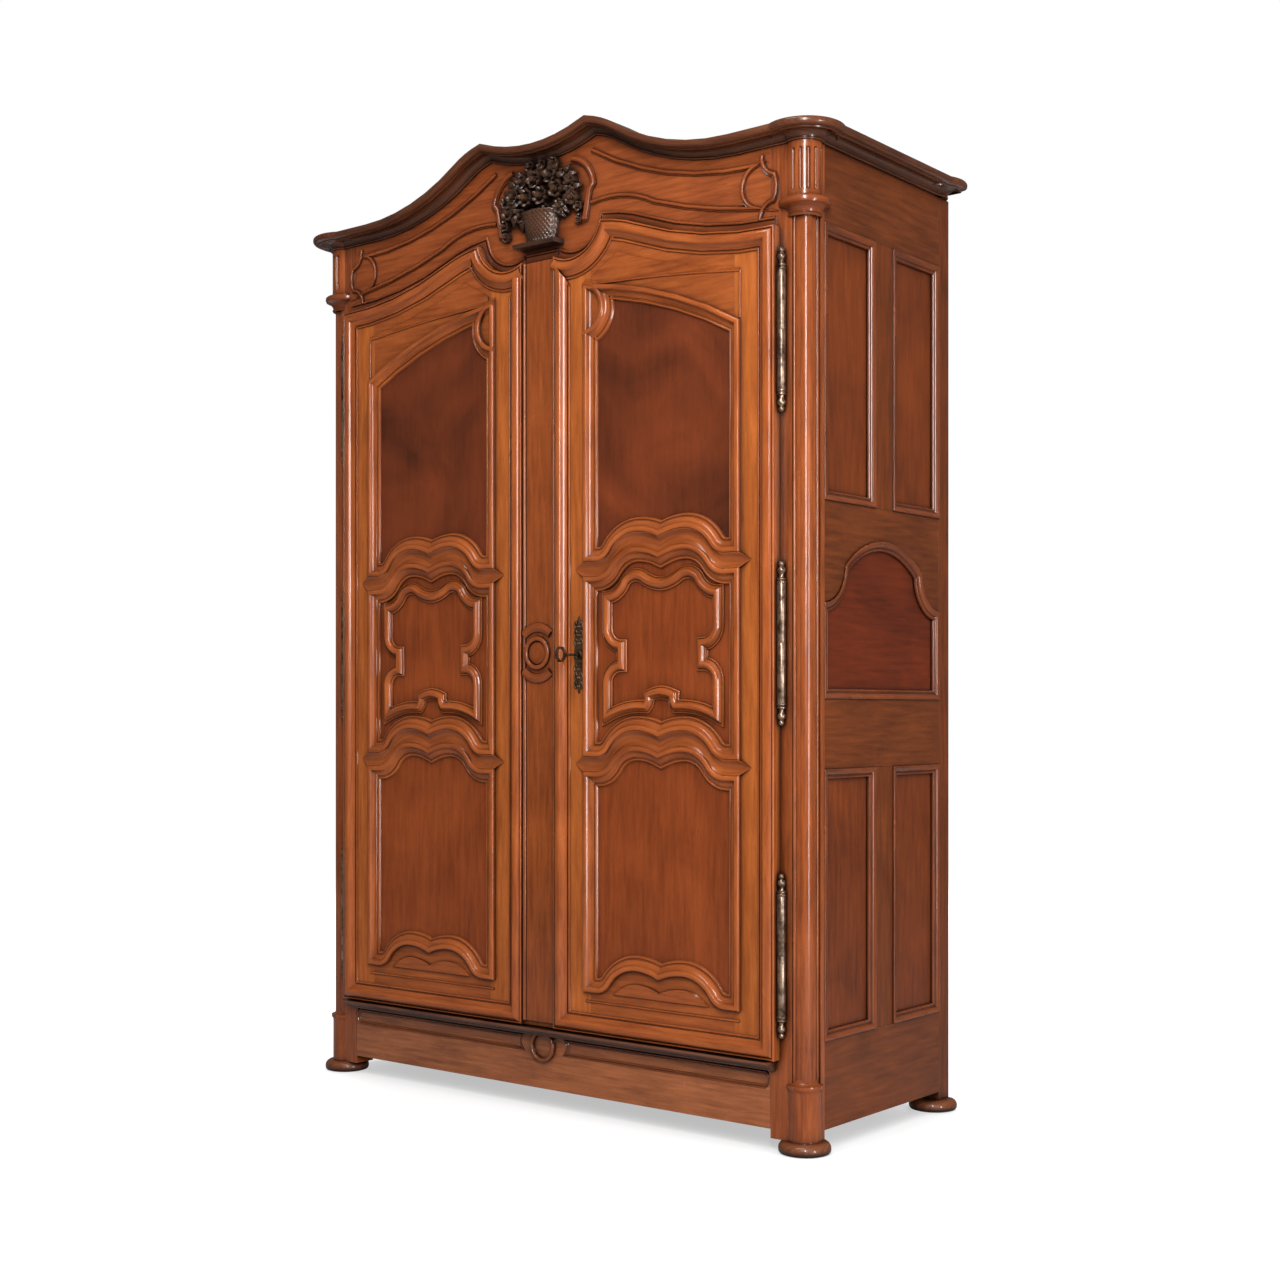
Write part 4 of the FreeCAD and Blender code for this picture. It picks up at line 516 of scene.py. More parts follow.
frieze_wood = waxed_board("frieze_walnut", tone(100, 44, 18), tone(172, 88, 41), "x")
bead_wood = walnut("bead_walnut", tone(92, 40, 17), tone(164, 84, 40), "uv")
carry(frieze_wood, 0.8, "frieze_board")
band_line = [(x, z + BAND_GAP, bow) for x, z, bow in DOOR_HEAD]
band = sweep(band_line[:-1] + [(SPAN, band_line[-1][1] + BAND_END_LIFT, None)], BAND_SECTION, LEFT, 0)
bridge = sweep([(-DOOR_INNER, band_line[0][1], 0), (DOOR_INNER, band_line[0][1], 0)], BAND_SECTION, LEFT, 0)
piece("frieze_band", "carcass", bead_wood, [band, on_left(band), bridge], ["frieze_edge_band"])
beads = [sweep(framed(shares), BEAD_SECTION, RIGHT, 0) for shares in (FIELD, BRACKET)]
piece("frieze_beads", "carcass", bead_wood, beads + [on_left(bead) for bead in beads],
      ["frieze_mouldings"])
roll = sweep(framed(CARTOUCHE), ROLL_SECTION, RIGHT, 0)
piece("cartouche_rolls", "carcass", bead_wood, [roll, on_left(roll)], ["cartouche_moulding"])

# Flower basket
# The basket of flowers is cut from a separate block and glued to the frieze: a ledge, a basket body with a
# diamond weave, and a crowded bouquet of blossoms and leaves. Painted shade darkens its hollows nearly to black.
PLINTH_HALF, PLINTH_LOW, PLINTH_HIGH = 72, 2300, 2312
BODY_FOOT, BODY_RIM, BODY_TOP, BODY_OUT = 46, 66, 2396, 44
BOUQUET_HALF, BOUQUET_LOW, BOUQUET_HIGH = 132, 2378, 2534
BLOSSOM = 27
BLOSSOM_OUT = 46
BLOSSOMS = [(-0.84, 0.2, 0.8), (-0.5, 0.1, 0.8), (-0.16, 0.06, 0.75), (0.2, 0.08, 0.8), (0.55, 0.12, 0.8),
            (0.86, 0.22, 0.75), (-0.7, 0.46, 0.85), (-0.32, 0.38, 1), (0.08, 0.36, 1), (0.48, 0.42, 0.95),
            (0.8, 0.5, 0.7), (-0.46, 0.68, 0.8), (-0.1, 0.66, 0.95), (0.3, 0.68, 0.85), (0.04, 0.9, 0.6),
            (0.6, 0.68, 0.55), (-0.72, 0.7, 0.5), (-0.98, 0, 0.6), (-0.96, -0.2, 0.5), (1, 0.06, 0.55),
            (1.02, -0.14, 0.45), (-0.96, 0.4, 0.6), (-0.28, 0.92, 0.6), (0.34, 0.9, 0.6)]
BLOSSOM_STEPS = ((1, 0), (1, 0.55), (0.92, 0.72), (0.72, 0.7), (0.5, 0.5), (0.36, 0.62), (0.26, 1), (0.08, 1.02))
LEAVES, LEAF_LEVEL, LEAF_RISE, LEAF_OUT = 48, 62, 78, 22
LEAF_SECTION = ((-1, -0.5), (-0.9, 0.5), (-0.4, 0.95), (0, 0.6), (0.4, 0.95), (0.9, 0.5), (1, -0.5))
PLINTH_SECTION = [(0, 0, 0), (0, 36, 0), (4, 44, 2), (9, 46, 0.6), (12, 40, 1), (12, 0, 0)]


def blossom(x, z, size, turn, petals=6):
    """Open flower: cupped petals round a raised heart."""
    rings, uvs = [], []
    radius = BLOSSOM * size
    for share, rise in BLOSSOM_STEPS:
        ring = []
        for step in range(48):
            angle = math.tau * step / 48
            lobe = abs(math.cos(petals * (angle + turn) / 2))
            reach = radius * share * (0.76 + 0.24 * lobe ** 0.6 if share > 0.45 else 1)
            out = BLOSSOM_OUT * size * rise * (0.78 + 0.22 * lobe if share > 0.45 else 0.86)
            ring.append((x + reach * math.cos(angle), -out, z + reach * math.sin(angle)))
        rings.append(ring)
        uvs.append([(point[2] / 1000, point[0] / 1000) for point in ring])
    return skin(rings, uvs)


def leaf(x, z, aim, length, width, out):
    """Pointed leaf with a sunk midrib, curling forward."""
    rings, uvs = [], []
    for step in range(9):
        share = step / 8
        half = width * math.sin(math.pi * min(1, 0.08 + 0.9 * share)) ** 0.8 / 2 + 0.3
        along = length * share
        lift = out * (0.45 + 0.55 * math.sin(math.pi * share))
        ring = []
        for across, rise in LEAF_SECTION:
            ring.append((x + along * math.cos(aim) - across * half * math.sin(aim), -max(0, lift + rise * 4 - 2),
                         z + along * math.sin(aim) + across * half * math.cos(aim)))
        rings.append(ring)
        uvs.append([(along / 1000, across / 1000) for across in range(len(LEAF_SECTION))])
    return skin(rings, uvs)


def weave():
    """Basket body as a swelling relief with a diamond weave and plaited rims."""
    rings, uvs = [], []
    for row in range(41):
        share = row / 40
        z = PLINTH_HIGH + (BODY_TOP - PLINTH_HIGH) * share
        half = BODY_FOOT + (BODY_RIM - BODY_FOOT) * share ** 0.8
        ring = []
        for step in range(61):
            across = step / 30 - 1
            bulge = BODY_OUT * math.sqrt(max(0, 1 - across ** 2)) * (0.75 + 0.25 * share)
            a = math.sin(math.pi * (across * 5 + share * 6))
            b = math.sin(math.pi * (across * 5 - share * 6))
            strand = 2.6 * max(abs(a), abs(b)) ** 3
            rim = 3.4 * math.exp(-((share - 0.95) / 0.045) ** 2) + 2.6 * math.exp(-((share - 0.04) / 0.05) ** 2)
            ring.append((half * across, -max(0, bulge - 3 + strand + rim), z))
        ring += [(half, 0, z), (-half, 0, z)]
        rings.append(ring)
        uvs.append([(point[2] / 1000, point[0] / 1000) for point in ring])
    return skin(rings, uvs)


carved = walnut("carved_walnut", tone(22, 14, 10), tone(96, 62, 42), "uv", figure=0.55, gloss=0.3)
plinth_line = [(-PLINTH_HALF, PLINTH_LOW, 0), (PLINTH_HALF, PLINTH_LOW, 0)]
carving = [sweep(plinth_line, PLINTH_SECTION, LEFT, 0), weave()]
chance = random.Random(7)
for x_share, z_share, size in BLOSSOMS:
    carving.append(blossom(x_share * BOUQUET_HALF, BOUQUET_LOW + z_share * (BOUQUET_HIGH - BOUQUET_LOW), size,
                           chance.uniform(0, 1), chance.choice((5, 6, 8))))
for index in range(LEAVES):
    aim = math.pi * (index / (LEAVES - 1) * 1.7 - 0.35)
    start = chance.uniform(0.5, 0.86)
    x = BOUQUET_HALF * start * math.cos(aim)
    z = BOUQUET_LOW + LEAF_LEVEL + LEAF_RISE * start * math.sin(aim)
    carving.append(leaf(x, z, aim + chance.uniform(-0.5, 0.5), chance.uniform(30, 42), chance.uniform(14, 20),
                        LEAF_OUT))
piece("carved_basket", "carcass", carved, carving, ["flower_basket"], sharp=50)

# Cornice
# A heavy moulding runs along the arched front and back along both sides, with a round break over each corner.
# Painted shade makes it nearly black in its hollows; the worn nose along the top is lighter.
CORNICE_SECTION = [(0, -40, 0), (0, 3.5, 0), (4.5, 5.5, 2), (5, 4, 0), (7.5, 4.6, 0), (15.5, 38, -9), (16, 41, 0),
                   (18.8, 42, 0), (19.2, 45, 0), (21, 53, 0.6), (30, 57, 1.4), (36.5, 54.5, 1), (38, 50, 0.4),
                   (38, -40, 0)]
CORNICE_SIDE = [(-812, 2425, 0), (-640, 2425, 0), (-265, 2533, None), (-187, 2565, None)]
CORNICE_DIP = [(-187, 2565, 0), (0, 2531, -8.5), (187, 2565, -8.5)]
CORNER_ROOT = 43
CORNER_LIFT = 1.02
REAR_CORNER_Y = 633
left_run = curve(CORNICE_SIDE)
right_run = [(-x, z) for x, z in reversed(left_run)]
front_line = [(x, z, 0) for x, z in left_run + curve(CORNICE_DIP)[1:] + right_run[1:]]
cornice_wood = walnut("cornice_walnut", tone(54, 28, 17), tone(116, 66, 41), "uv")
front_run = sweep(front_line, CORNICE_SECTION, LEFT, 0)
piece("front_cornice", "carcass", cornice_wood, [front_run], ["cornice_front"])
side_run = to_side(sweep([(AXIS[1], POST_TOP, 0), (REAR_CORNER_Y, POST_TOP, 0)], CORNICE_SECTION, LEFT, 0))
piece("right_cornice", "carcass", cornice_wood, [side_run], ["cornice_right"])
piece("left_cornice", "carcass", cornice_wood, [side_run], ["cornice_left"], mirror=True)
corner = [(CORNER_ROOT + out, POST_TOP + up * CORNER_LIFT) for up, out in curve(CORNICE_SECTION[1:-1], 0.35)]
blocks = []
for x in (-AXIS[0], AXIS[0]):
    blocks += [turned(corner, (x, AXIS[1]), 64), sawn(corner, (x, REAR_CORNER_Y), 64)]
piece("corner_breaks", "carcass", cornice_wood, blocks, ["cornice_corners"])

# Doors
# Each door is a frame of two stiles and four rails with three panels. Bold mouldings are worked round the panels
# and round the whole door, the rails between the panels are double arches, and the middle panel bears a violin.
CENTRE = (DOOR_INNER + DOOR_OUTER) / 2
FIELD_HALF = 250
FLAT = -17
DOOR_BACK = 1000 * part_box("right_door_hinge_stile")[1].y - FACE
SIGHT_LEFT = 1000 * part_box("right_door_meeting_stile")[1].x
SIGHT_RIGHT = 1000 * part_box("right_door_hinge_stile")[0].x
PANEL = -10
EAR = (CENTRE - FIELD_HALF, 2110)
EAR_RADIUS = 55
UPPER_RAIL, LOWER_RAIL, FOOT_RAIL = (1412, 1450), (905, 943), 330
CREST = [(-FIELD_HALF, 0, 0), (-205, 0, 0), (-161.14, 23.46, None), (-76, 69, None), (0, 52, None)]
PANEL_ARCH = [(CENTRE - FIELD_HALF, 2176, 0), (CENTRE + FIELD_HALF, 2016, 27)]
BURR_FOOT = 1480
LIP_SECTION = [(0, 0, 0), (0, 9, 0), (2.5, 12, 0.7), (5, 11, 0.5), (6, 9.6, 0), (21, 18, 2.6), (31, 13.5, 2),
               (44, 4, -1.4), (45, 1.4, 0), (47, 1.4, 0), (53, 1.4, 2.8), (54, 0, 0)]
PANEL_SECTION = [(0, 7, 0), (0, 14, 0), (7, 20, 2.2), (14, 17, 1.7), (28, 6.4, -2.4), (29, 4.4, 0),
                 (31.5, 4.4, 0), (38, 3.6, 2.4), (40, 0, 0.3), (20, 0, 0), (20, 7, 0)]
VIOLIN = [(0, 0.17, 0), (0.22, 0.145, 0.01), (0.27, 0.07, -0.02), (1, 0, 0.05), (1, 0.24, 0), (0.73, 0.365, -0.08),
          (0.73, 0.5, 0), (1, 0.63, -0.08), (1, 0.855, 0), (0.66, 0.96, 0.06), (0.3, 0.975, -0.07), (0, 0.93, 0.02)]
VIOLIN_LOW, VIOLIN_TALL, VIOLIN_HALF = 1048, 362, 178
VIOLIN_SECTION = [(-18, 0, 0), (-18, 3, 0), (-14, 5, 0.6), (-13, 4, 0), (-3, 15, 2.2), (5, 13, 1.8),
                  (11.5, 5, -1), (12.2, 3.2, 0), (13.6, 3.2, 0), (17, 3.2, 1.4), (18, 0, 0)]
HOLLOW_SECTION = [(-19, 0, 0), (-19, 9.5, 0), (-17, 9.5, 0), (17, 9.5, -8.6), (19, 9.5, 0), (19, 0, 0)]
HOLLOW_END, HOLLOW_TIP = 281, 0.04
HOLLOW_LEVELS = [sum(rail) / 2 for rail in (UPPER_RAIL, LOWER_RAIL)]
WEDGE_TOP = [(186, 2192), (272, 2243), (377, 2205), (504, 2170), (657, 2140)]
WEDGE_FOOT = [(186, 2172), (272, 2168), (377, 2163), (504, 2153), (657, 2137)]
WEDGE_RISE, WEDGE_EDGE, WEDGE_FALL = 4.5, 0.3, 5
SPANDREL_SIDE = [(657, 2137, 0), (657, 2022, 0)]
FINE_BEAD = [(-3, 0, 0), (-3, 0.6, 0), (3, 0.6, 2.6), (3, 0, 0)]
LOBE_DROP, LOBE_FOOT, LOBE_START, LOBE_END, LOBE_MIDDLE = 33, 331, 333, 6, 345
LOBE_STEPS = ((1, 0), (1, 1.2), (0.93, 5), (0.9, 5))
FOOT_BEAD_HALF, FOOT_BEAD_Z = 246, 306


def crest(level):
    """Double arch of a rail, from left to right."""
    half = curve([(x, level + rise, bow) for x, rise, bow in CREST])
    return [(CENTRE + x, z, 0) for x, z in half + [(-x, z) for x, z in reversed(half[:-1])]]


def ring_path(top, bottom):
    """Closed clockwise outline between an upper and a lower edge."""
    closing = (top[0][0], top[0][1], 0)
    return top + [(x, z, 0) for x, z, bow in reversed(bottom)] + [closing]


arch = [(x, z, 0) for x, z in curve(PANEL_ARCH)]
fields = [ring_path(arch, crest(UPPER_RAIL[1])), ring_path(crest(UPPER_RAIL[0]), crest(LOWER_RAIL[1])),
          ring_path(crest(LOWER_RAIL[0]), crest(FOOT_RAIL))]
door_outline = [(DOOR_INNER, DOOR_FOOT, 0), (DOOR_HEAD[0][0], DOOR_HEAD[0][1], 0)] + DOOR_HEAD[1:] + [
    (DOOR_OUTER, DOOR_FOOT, 0), (DOOR_INNER, DOOR_FOOT, 0)]
violin_half = curve([(x * VIOLIN_HALF, VIOLIN_LOW + z * VIOLIN_TALL, bow * VIOLIN_HALF) for x, z, bow in VIOLIN])
violin_loop = list(reversed(violin_half)) + [(-x, z) for x, z in violin_half[1:]]
violin = [(CENTRE + x, z, 0) for x, z in violin_loop]
foot_line = [(CENTRE - FIELD_HALF, DOOR_FOOT, 0), (CENTRE + FIELD_HALF, DOOR_FOOT, 0)]
ear = [(EAR[0], EAR[1] - EAR_RADIUS, 0), (EAR[0], EAR[1] + EAR_RADIUS, -EAR_RADIUS)]
stile_wood = waxed_board("stile_walnut", tone(138, 66, 23), tone(205, 113, 50), "z")
rail_front = waxed_board("door_rail_walnut", tone(118, 54, 20), tone(182, 96, 44), "x")
panel_wood = waxed_board("door_panel_walnut", tone(104, 43, 15), tone(158, 76, 32), "z", figure=0.5)
burr_wood = waxed_board("burr_panel_walnut", tone(58, 25, 11), tone(126, 57, 26), "z", figure=0.8)
moulded = walnut("door_moulding_walnut", tone(116, 52, 20), tone(186, 98, 45), "uv")


def board(top, bottom):
    """Flat rail of the door's thickness between an upper and a lower edge."""
    line = [(max(SIGHT_LEFT, min(SIGHT_RIGHT, x)), z) for x, z, bow in top + bottom[::-1]]
    rings = [[(x, y, z) for x, z in line] for y in (FLAT, DOOR_BACK)]
    return skin(rings, [[(x / 1000, z / 1000) for x, z in line] for y in (FLAT, DOOR_BACK)])


def hollow(level):
    """Scooped band between the two mouldings of a rail, run out to a point on each stile."""
    ends = [(CENTRE + side * HOLLOW_END, level, 0) for side in (-1, 1)]

    def swell(x):
        return max(HOLLOW_TIP, min(1, (HOLLOW_END - abs(x - CENTRE)) / (HOLLOW_END - FIELD_HALF)))

    return sweep([ends[0]] + crest(level) + [ends[1]], HOLLOW_SECTION, LEFT, FLAT, swell)


def wedge():
    """Sloping strip over the arch, highest along its upper edge and running out to nothing."""
    rings = []
    for (x, high), (_, low) in zip(WEDGE_TOP, WEDGE_FOOT):
        rings.append([(x, FLAT, low), (x, FLAT - WEDGE_EDGE, low), (x, FLAT - WEDGE_RISE, high),
                      (x, FLAT, high + WEDGE_FALL)])
    return skin(rings, [[(point[0] / 1000, point[2] / 1000) for point in ring] for ring in rings])


def lobes():
    """Two half-moons under the foot of the lower panel, raised with a sloping edge."""
    top = [(x, z - LOBE_DROP) for x, z, bow in crest(FOOT_RAIL) if z - LOBE_DROP > LOBE_START]
    line = [(top[0][0] - LOBE_END, LOBE_FOOT)] + top + [(top[-1][0] + LOBE_END, LOBE_FOOT)]
    rings = []
    for share, out in LOBE_STEPS:
        rings.append([(CENTRE + (x - CENTRE) * share, FLAT - out, LOBE_MIDDLE + (z - LOBE_MIDDLE) * share)
                      for x, z in line])
    return skin(rings, [[(point[0] / 1000, point[2] / 1000) for point in ring] for ring in rings])


rails = [board(crest(high), crest(low)) for low, high in (UPPER_RAIL, LOWER_RAIL)]
rails.append(board(crest(FOOT_RAIL), foot_line))
foot_bead = [(CENTRE - FOOT_BEAD_HALF, FOOT_BEAD_Z, 0), (CENTRE + FOOT_BEAD_HALF, FOOT_BEAD_Z, 0)]
edges = [sweep(field, PANEL_SECTION, RIGHT, PANEL) for field in fields]
edges += [sweep(ear, PANEL_SECTION, RIGHT, PANEL), sweep(violin, VIOLIN_SECTION, LEFT, PANEL)]
edges += [hollow(level) for level in HOLLOW_LEVELS]
edges += [wedge(), lobes(), sweep(SPANDREL_SIDE, FINE_BEAD, LEFT, FLAT),
          sweep([(x, z, 0) for x, z in WEDGE_FOOT], FINE_BEAD, LEFT, FLAT), sweep(foot_bead, FINE_BEAD, LEFT, FLAT)]
lip = sweep(door_outline, LIP_SECTION, RIGHT, FLAT)
for hand in ("left", "right"):
    door = hand + "_door"
    mirror = hand == "left"
    carry(stile_wood, 0.7, door + "_hinge_stile", door + "_meeting_stile")
    carry(rail_front, 0.7, door + "_top_rail")
    piece(door + "_lower_rails", door, rail_front, rails,
          [door + "_cross_rails", door + "_bottom_rail"], mirror)
    carry(panel_wood, 0.4, door + "_panels")
    panel_mesh = nodes[door + "_panels"].data
    panel_mesh.materials.append(burr_wood)
    for polygon in panel_mesh.polygons:
        polygon.material_index = int(1000 * polygon.center.z > BURR_FOOT)
    piece(door + "_panel_edging", door, moulded, edges, [door + "_panel_mouldings"], mirror)
    piece(door + "_lip", door, moulded, [lip], [door + "_frame_moulding"], mirror)

# Meeting strip
# A flat strip with a bead on its left edge is planted on the left door and covers the gap between the two. A
# turned ring sits on it at the height of the lock, between two curved collars.
STRIP_LEFT, STRIP_FOOT, STRIP_HEAD = -53.5, 235, 2260
STRIP_SECTION = [(0, 0, 0), (0, 6, 0), (10, 6, 4), (11, 3.6, 0), (12.5, 3.6, 0), (13.5, 6, 0), (104, 6, 0),
                 (107, 3, 0.8), (107, 0, 0)]
STRIP_OUT = 6
STRIP_RING, STRIP_RING_RISE, STRIP_RING_Z = RING + 2, 10, 1217
STRIP_DISC = [(RING_HOLE - 1, 0), (RING_HOLE - 3, 3), (20, 5), (8, 5.6), (0.5, 5.8)]
COLLAR = 68
COLLAR_HALF = 47
COLLAR_SECTION = [(-12, 0, 0), (-12, 3, 0), (-9, 5, 0.6), (9, 5, 4.2), (12, 3, 0.6), (12, 0, 0)]
collar_rise = math.sqrt(COLLAR ** 2 - COLLAR_HALF ** 2)
ring_at = (0, FLAT - STRIP_OUT, STRIP_RING_Z)
strip = [sweep([(STRIP_LEFT, STRIP_FOOT, 0), (STRIP_LEFT, STRIP_HEAD, 0)], STRIP_SECTION, RIGHT, FLAT),
         planted_ring(ring_at, RING_HOLE, STRIP_RING, STRIP_RING_RISE), turned(STRIP_DISC, ring_at, facing=True)]
for side in (-1, 1):
    level = STRIP_RING_Z + side * collar_rise
    strip.append(sweep([(-COLLAR_HALF, level, 0), (COLLAR_HALF, level, side * (COLLAR - collar_rise))],
                       COLLAR_SECTION, LEFT, FLAT - STRIP_OUT))
strip_wood = walnut("strip_walnut", tone(102, 46, 17), tone(162, 82, 36), "uv")
piece("door_strip", "left_door", strip_wood, strip, ["meeting_strip"])

# Hinges
# Three long steel hinges a side, each turned from bar: a plain barrel in two halves with a ring and a vase
# finial at both ends. The leaves are let into the post and the door; the steel is worn bright.
HINGE_AT = (774.5, -11)
HINGE_LEVELS = (473.5, 1224.5, 1977.5)
HINGE_GAP = 0.4
BARREL_SIDES = 28
POST_FLAP, DOOR_FLAP = (773, 776, -11, 30), (734.5, 774.5, -12.5, -9.5)
FLAP_NEAR, FLAP_FAR = 8, 140
HINGE_OUTLINE = [(9.6, 0), (10, 1), (10, 142), (9.6, 143), (11.3, 145), (11.3, 147), (9.4, 149), (8, 151),
                 (10.6, 153.5), (10.6, 155.5), (6.5, 158), (5.2, 163), (6.6, 168), (9.2, 172), (9.8, 176),
                 (8.4, 180), (5, 183), (4.2, 185), (6, 187), (7, 190), (6.2, 193.5), (3.4, 197), (0.6, 198)]


def steel(name, dark, light, rough):
    """Old hand-worked steel: brushed, spotted with brown, brighter where it is rubbed."""
    material, surface, add, link = shader(name)
    place = add("TexCoord")
    spots = add("TexNoise", Scale=38, Detail=6, Roughness=0.7)
    link(place, "Object", spots, "Vector")
    ramp = add("ValToRGB")
    ramp.color_ramp.elements[0].position = 0.36
    ramp.color_ramp.elements[0].color = dark
    ramp.color_ramp.elements[1].position = 0.58
    ramp.color_ramp.elements[1].color = light
    link(spots, "Fac", ramp, "Fac")
    link(ramp, "Color", surface, "Base Color")
    dull = add("MapRange", To_Min=rough + 0.2, To_Max=rough - 0.12)
    link(spots, "Fac", dull, "Value")
    link(dull, "Result", surface, "Roughness")
    scratch = add("Bump", Strength=0.2, Distance=0.0004)
    link(spots, "Fac", scratch, "Height")
    link(scratch, "Normal", surface, "Normal")
    surface.inputs["Metallic"].default_value = 0.9
    return material


def plate(x0, x1, y0, y1, z0, z1):
    """Flat hinge leaf."""
    return prism([(x0, y0), (x1, y0), (x1, y1), (x0, y1)], z0, z1)


bright = steel("hinge_steel", tone(66, 49, 39), tone(172, 148, 128), 0.3)
lower, upper = [], []
for z in HINGE_LEVELS:
    lower += [turned([(r, z - h) for r, h in HINGE_OUTLINE], HINGE_AT, BARREL_SIDES),
              plate(*POST_FLAP, z - FLAP_FAR, z - FLAP_NEAR)]
    upper += [turned([(r, z + HINGE_GAP + h) for r, h in HINGE_OUTLINE], HINGE_AT, BARREL_SIDES),
              plate(*DOOR_FLAP, z + FLAP_NEAR, z + FLAP_FAR)]
piece("hinge_lower_halves", "carcass", bright, lower + [on_left(part) for part in lower],
      ["hinge_post_halves"])
piece("right_hinge_upper_halves", "right_door", bright, upper, ["right_door_hinge_halves"])
piece("left_hinge_upper_halves", "left_door", bright, upper, ["left_door_hinge_halves"], mirror=True)

# Lock, key and bolts
# The right door has a box lock with a forged key and a long pierced escutcheon; the left door is held by sliding
# bolts at its head and foot. All are forged and filed, the hidden ones black.
aged = steel("aged_steel", tone(48, 32, 22), tone(128, 100, 78), 0.42)
black = steel("black_iron", tone(22, 20, 19), tone(70, 64, 60), 0.5)
carry(aged, 0.4, "escutcheon", "key")
plate_low, plate_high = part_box("escutcheon")
LOCK_X = 500 * (plate_low.x + plate_high.x)
LOCK_Z = 500 * (plate_low.z + plate_high.z)
PLATE_FRONT = 1000 * plate_low.y - FACE
SCROLL_STEPS = (-78, -56, -34, 34, 56, 78)
SCROLL_TALL, SCROLL_BOW, SCROLL_REACH = 9, 7, 7
WIRE = [(-2, 0, 0), (-2, 1, 0), (2, 1, 1.9), (2, 0, 0)]
KEYHOLE_RIM = (7, 11, 3)
CURL_IN, CURL_DROP, CURL_BOW = 5, 6, 2
SCROLL_DOT, DOT_IN = [(3.4, 0), (3, 1.6), (1.6, 2.8), (0.3, 3.1)], 4
scrolls = [planted_ring((LOCK_X, PLATE_FRONT, LOCK_Z), *KEYHOLE_RIM)]
for step in SCROLL_STEPS:
    z = LOCK_Z + step
    for side in (-1, 1):
        x = LOCK_X + side * SCROLL_REACH
        curl = [(x, z - SCROLL_TALL, 0), (x, z + SCROLL_TALL, -side * SCROLL_BOW),
                (x - side * CURL_IN, z + SCROLL_TALL - CURL_DROP, side * CURL_BOW)]
        dot_at = (x - side * DOT_IN, PLATE_FRONT, z - DOT_IN)
        scrolls += [sweep(curl, WIRE, LEFT, PLATE_FRONT), turned(SCROLL_DOT, dot_at, 16, facing=True)]
piece("escutcheon_scrolls", "right_door", aged, scrolls)
carry(black, 0.6, "lock_case", "lock_bolt", "lock_keeper", "left_bolt_plates", "left_top_bolt", "left_bottom_bolt")

# Floor and backdrop
# A plain white studio floor with a soft shadow, partly cast by the lamps and partly painted round the piece by
# ambient occlusion on its glow, and a white surround. They only show the piece and are no part of it.
FLOOR_HALF = 14
floor_mesh = bpy.data.meshes.new("studio_floor")
floor_mesh.from_pydata([(-FLOOR_HALF, -FLOOR_HALF, 0), (FLOOR_HALF, -FLOOR_HALF, 0), (FLOOR_HALF, FLOOR_HALF, 0),
                        (-FLOOR_HALF, FLOOR_HALF, 0)], [], [(0, 1, 2, 3)])
floor = bpy.data.objects.new("studio_floor", floor_mesh)
bpy.context.scene.collection.objects.link(floor)
floor_paint, floor_surface, add, link = shader("floor_white")
wash = add("TexNoise", Scale=3)
pale = add("MapRange", To_Min=0.38, To_Max=0.42)
link(wash, "Fac", pale, "Value")
link(pale, "Result", floor_surface, "Base Color")
floor_surface.inputs["Roughness"].default_value = 0.9
floor_surface.inputs["Emission Color"].default_value = (1, 1, 1, 1)
eye = add("LightPath")
# Painted shadow: ambient occlusion dims the floor's glow near the piece, on top of the lamps' real shadow.
near = add("AmbientOcclusion", samples=16, Distance=0.7)
painted_shadow_glow = add("MapRange", From_Min=0.3, From_Max=0.9, To_Min=0.5, To_Max=0.96)
link(near, "AO", painted_shadow_glow, "Value")
either = add("Math", operation="MAXIMUM")
link(eye, "Is Camera Ray", either, 0)
link(eye, "Is Transmission Ray", either, 1)
glow = add("Math", operation="MULTIPLY")
link(either, "Value", glow, 0)
link(painted_shadow_glow, "Result", glow, 1)
link(glow, "Value", floor_surface, "Emission Strength")
floor_mesh.materials.append(floor_paint)

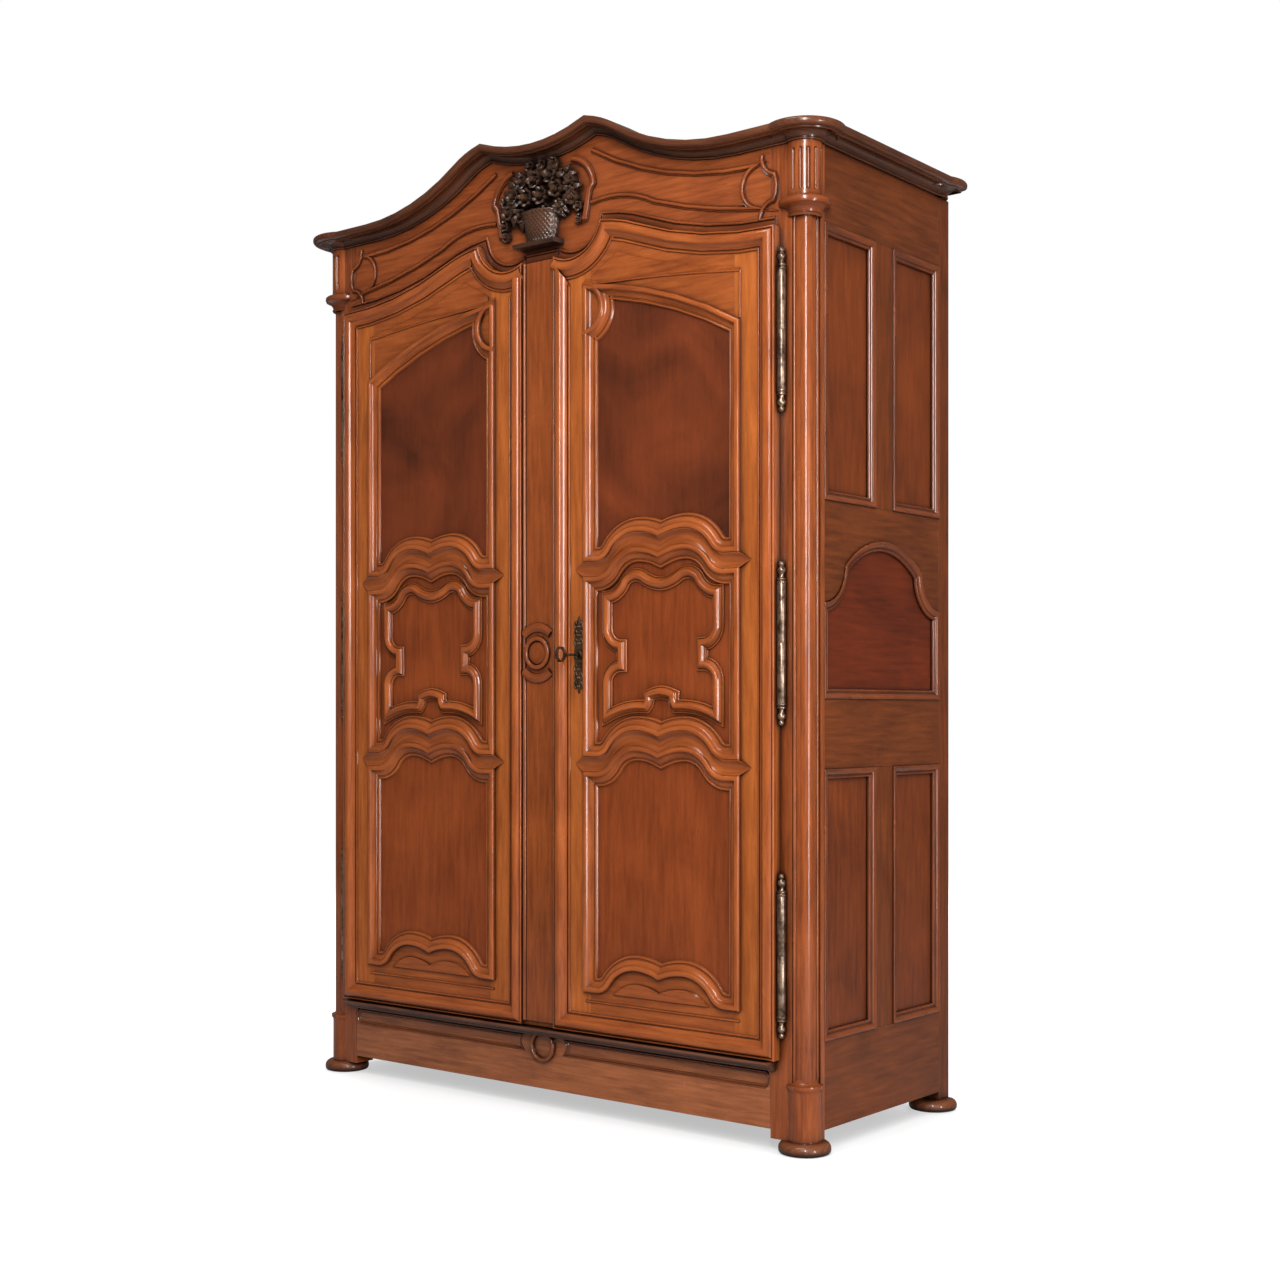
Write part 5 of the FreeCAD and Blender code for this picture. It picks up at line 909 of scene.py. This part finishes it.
scene = bpy.context.scene
world = bpy.data.worlds.new("studio")
scene.world = world
world.use_nodes = True
tree = world.node_tree
sky = tree.nodes["Background"]
sky.inputs["Color"].default_value = (1, 1, 1, 1)
sky.inputs["Strength"].default_value = 0.1
seen = tree.nodes.new("ShaderNodeBackground")
seen.inputs["Color"].default_value = (1, 1, 1, 1)
seen.inputs["Strength"].default_value = 1
path = tree.nodes.new("ShaderNodeLightPath")
choice = tree.nodes.new("ShaderNodeMixShader")
mirrored = tree.nodes.new("ShaderNodeMath")
mirrored.operation = "MULTIPLY_ADD"
mirrored.inputs[1].default_value = 0.06
tree.links.new(path.outputs["Is Glossy Ray"], mirrored.inputs[0])
tree.links.new(path.outputs["Is Camera Ray"], mirrored.inputs[2])
through = tree.nodes.new("ShaderNodeMath")
through.operation = "MAXIMUM"
tree.links.new(mirrored.outputs[0], through.inputs[0])
tree.links.new(path.outputs["Is Transmission Ray"], through.inputs[1])
tree.links.new(through.outputs[0], choice.inputs[0])
tree.links.new(sky.outputs[0], choice.inputs[1])
tree.links.new(seen.outputs[0], choice.inputs[2])
tree.links.new(choice.outputs[0], tree.nodes["World Output"].inputs["Surface"])

# Lights and camera
# Two tall strips in front and on the right draw the white lines on the rounds, with a soft box overhead. Boxes
# on the left and behind only fill, without reflections. The camera stands on the right at chest height.
LIGHTS = {"front_strip": ((2.9, -3.4, 2.7), (0.2, 0, 1), (0.45, 2.6), 172),
          "right_strip": ((5.0, -1.2, 1.05), (0.6, 0, 0.8), (0.35, 2.1), 96),
          "top_box": ((0.8, -2.6, 4.6), (0.2, 0, 1), (2.2, 0.7), 55),
          "left_box": ((-5.2, 1.6, 2.2), (-0.5, 0.2, 1.2), (1.5, 3), 130),
          "back_box": ((-1.2, 5.6, 3), (0, 0.3, 1.2), (3, 3), 210)}
FILLS = ("left_box", "back_box")
for name, (place, aim, size, power) in LIGHTS.items():
    lamp = bpy.data.lights.new(name, "AREA")
    lamp.shape = "RECTANGLE"
    lamp.size, lamp.size_y = size
    lamp.energy = power
    stand = bpy.data.objects.new(name, lamp)
    stand.location = place
    stand.visible_glossy = name not in FILLS
    stand.rotation_euler = (Vector(aim) - Vector(place)).to_track_quat("-Z", "Y").to_euler()
    scene.collection.objects.link(stand)

lens = bpy.data.cameras.new("camera")
lens.lens = 50.18
lens.sensor_width = 36
lens.shift_y = 0.0559
camera = bpy.data.objects.new("camera", lens)
camera.location = (3.188, -3.846, 1.061)
camera.rotation_euler = (math.radians(90), 0, math.radians(38.74))
scene.collection.objects.link(camera)
scene.camera = camera
scene.view_settings.view_transform = "Standard"
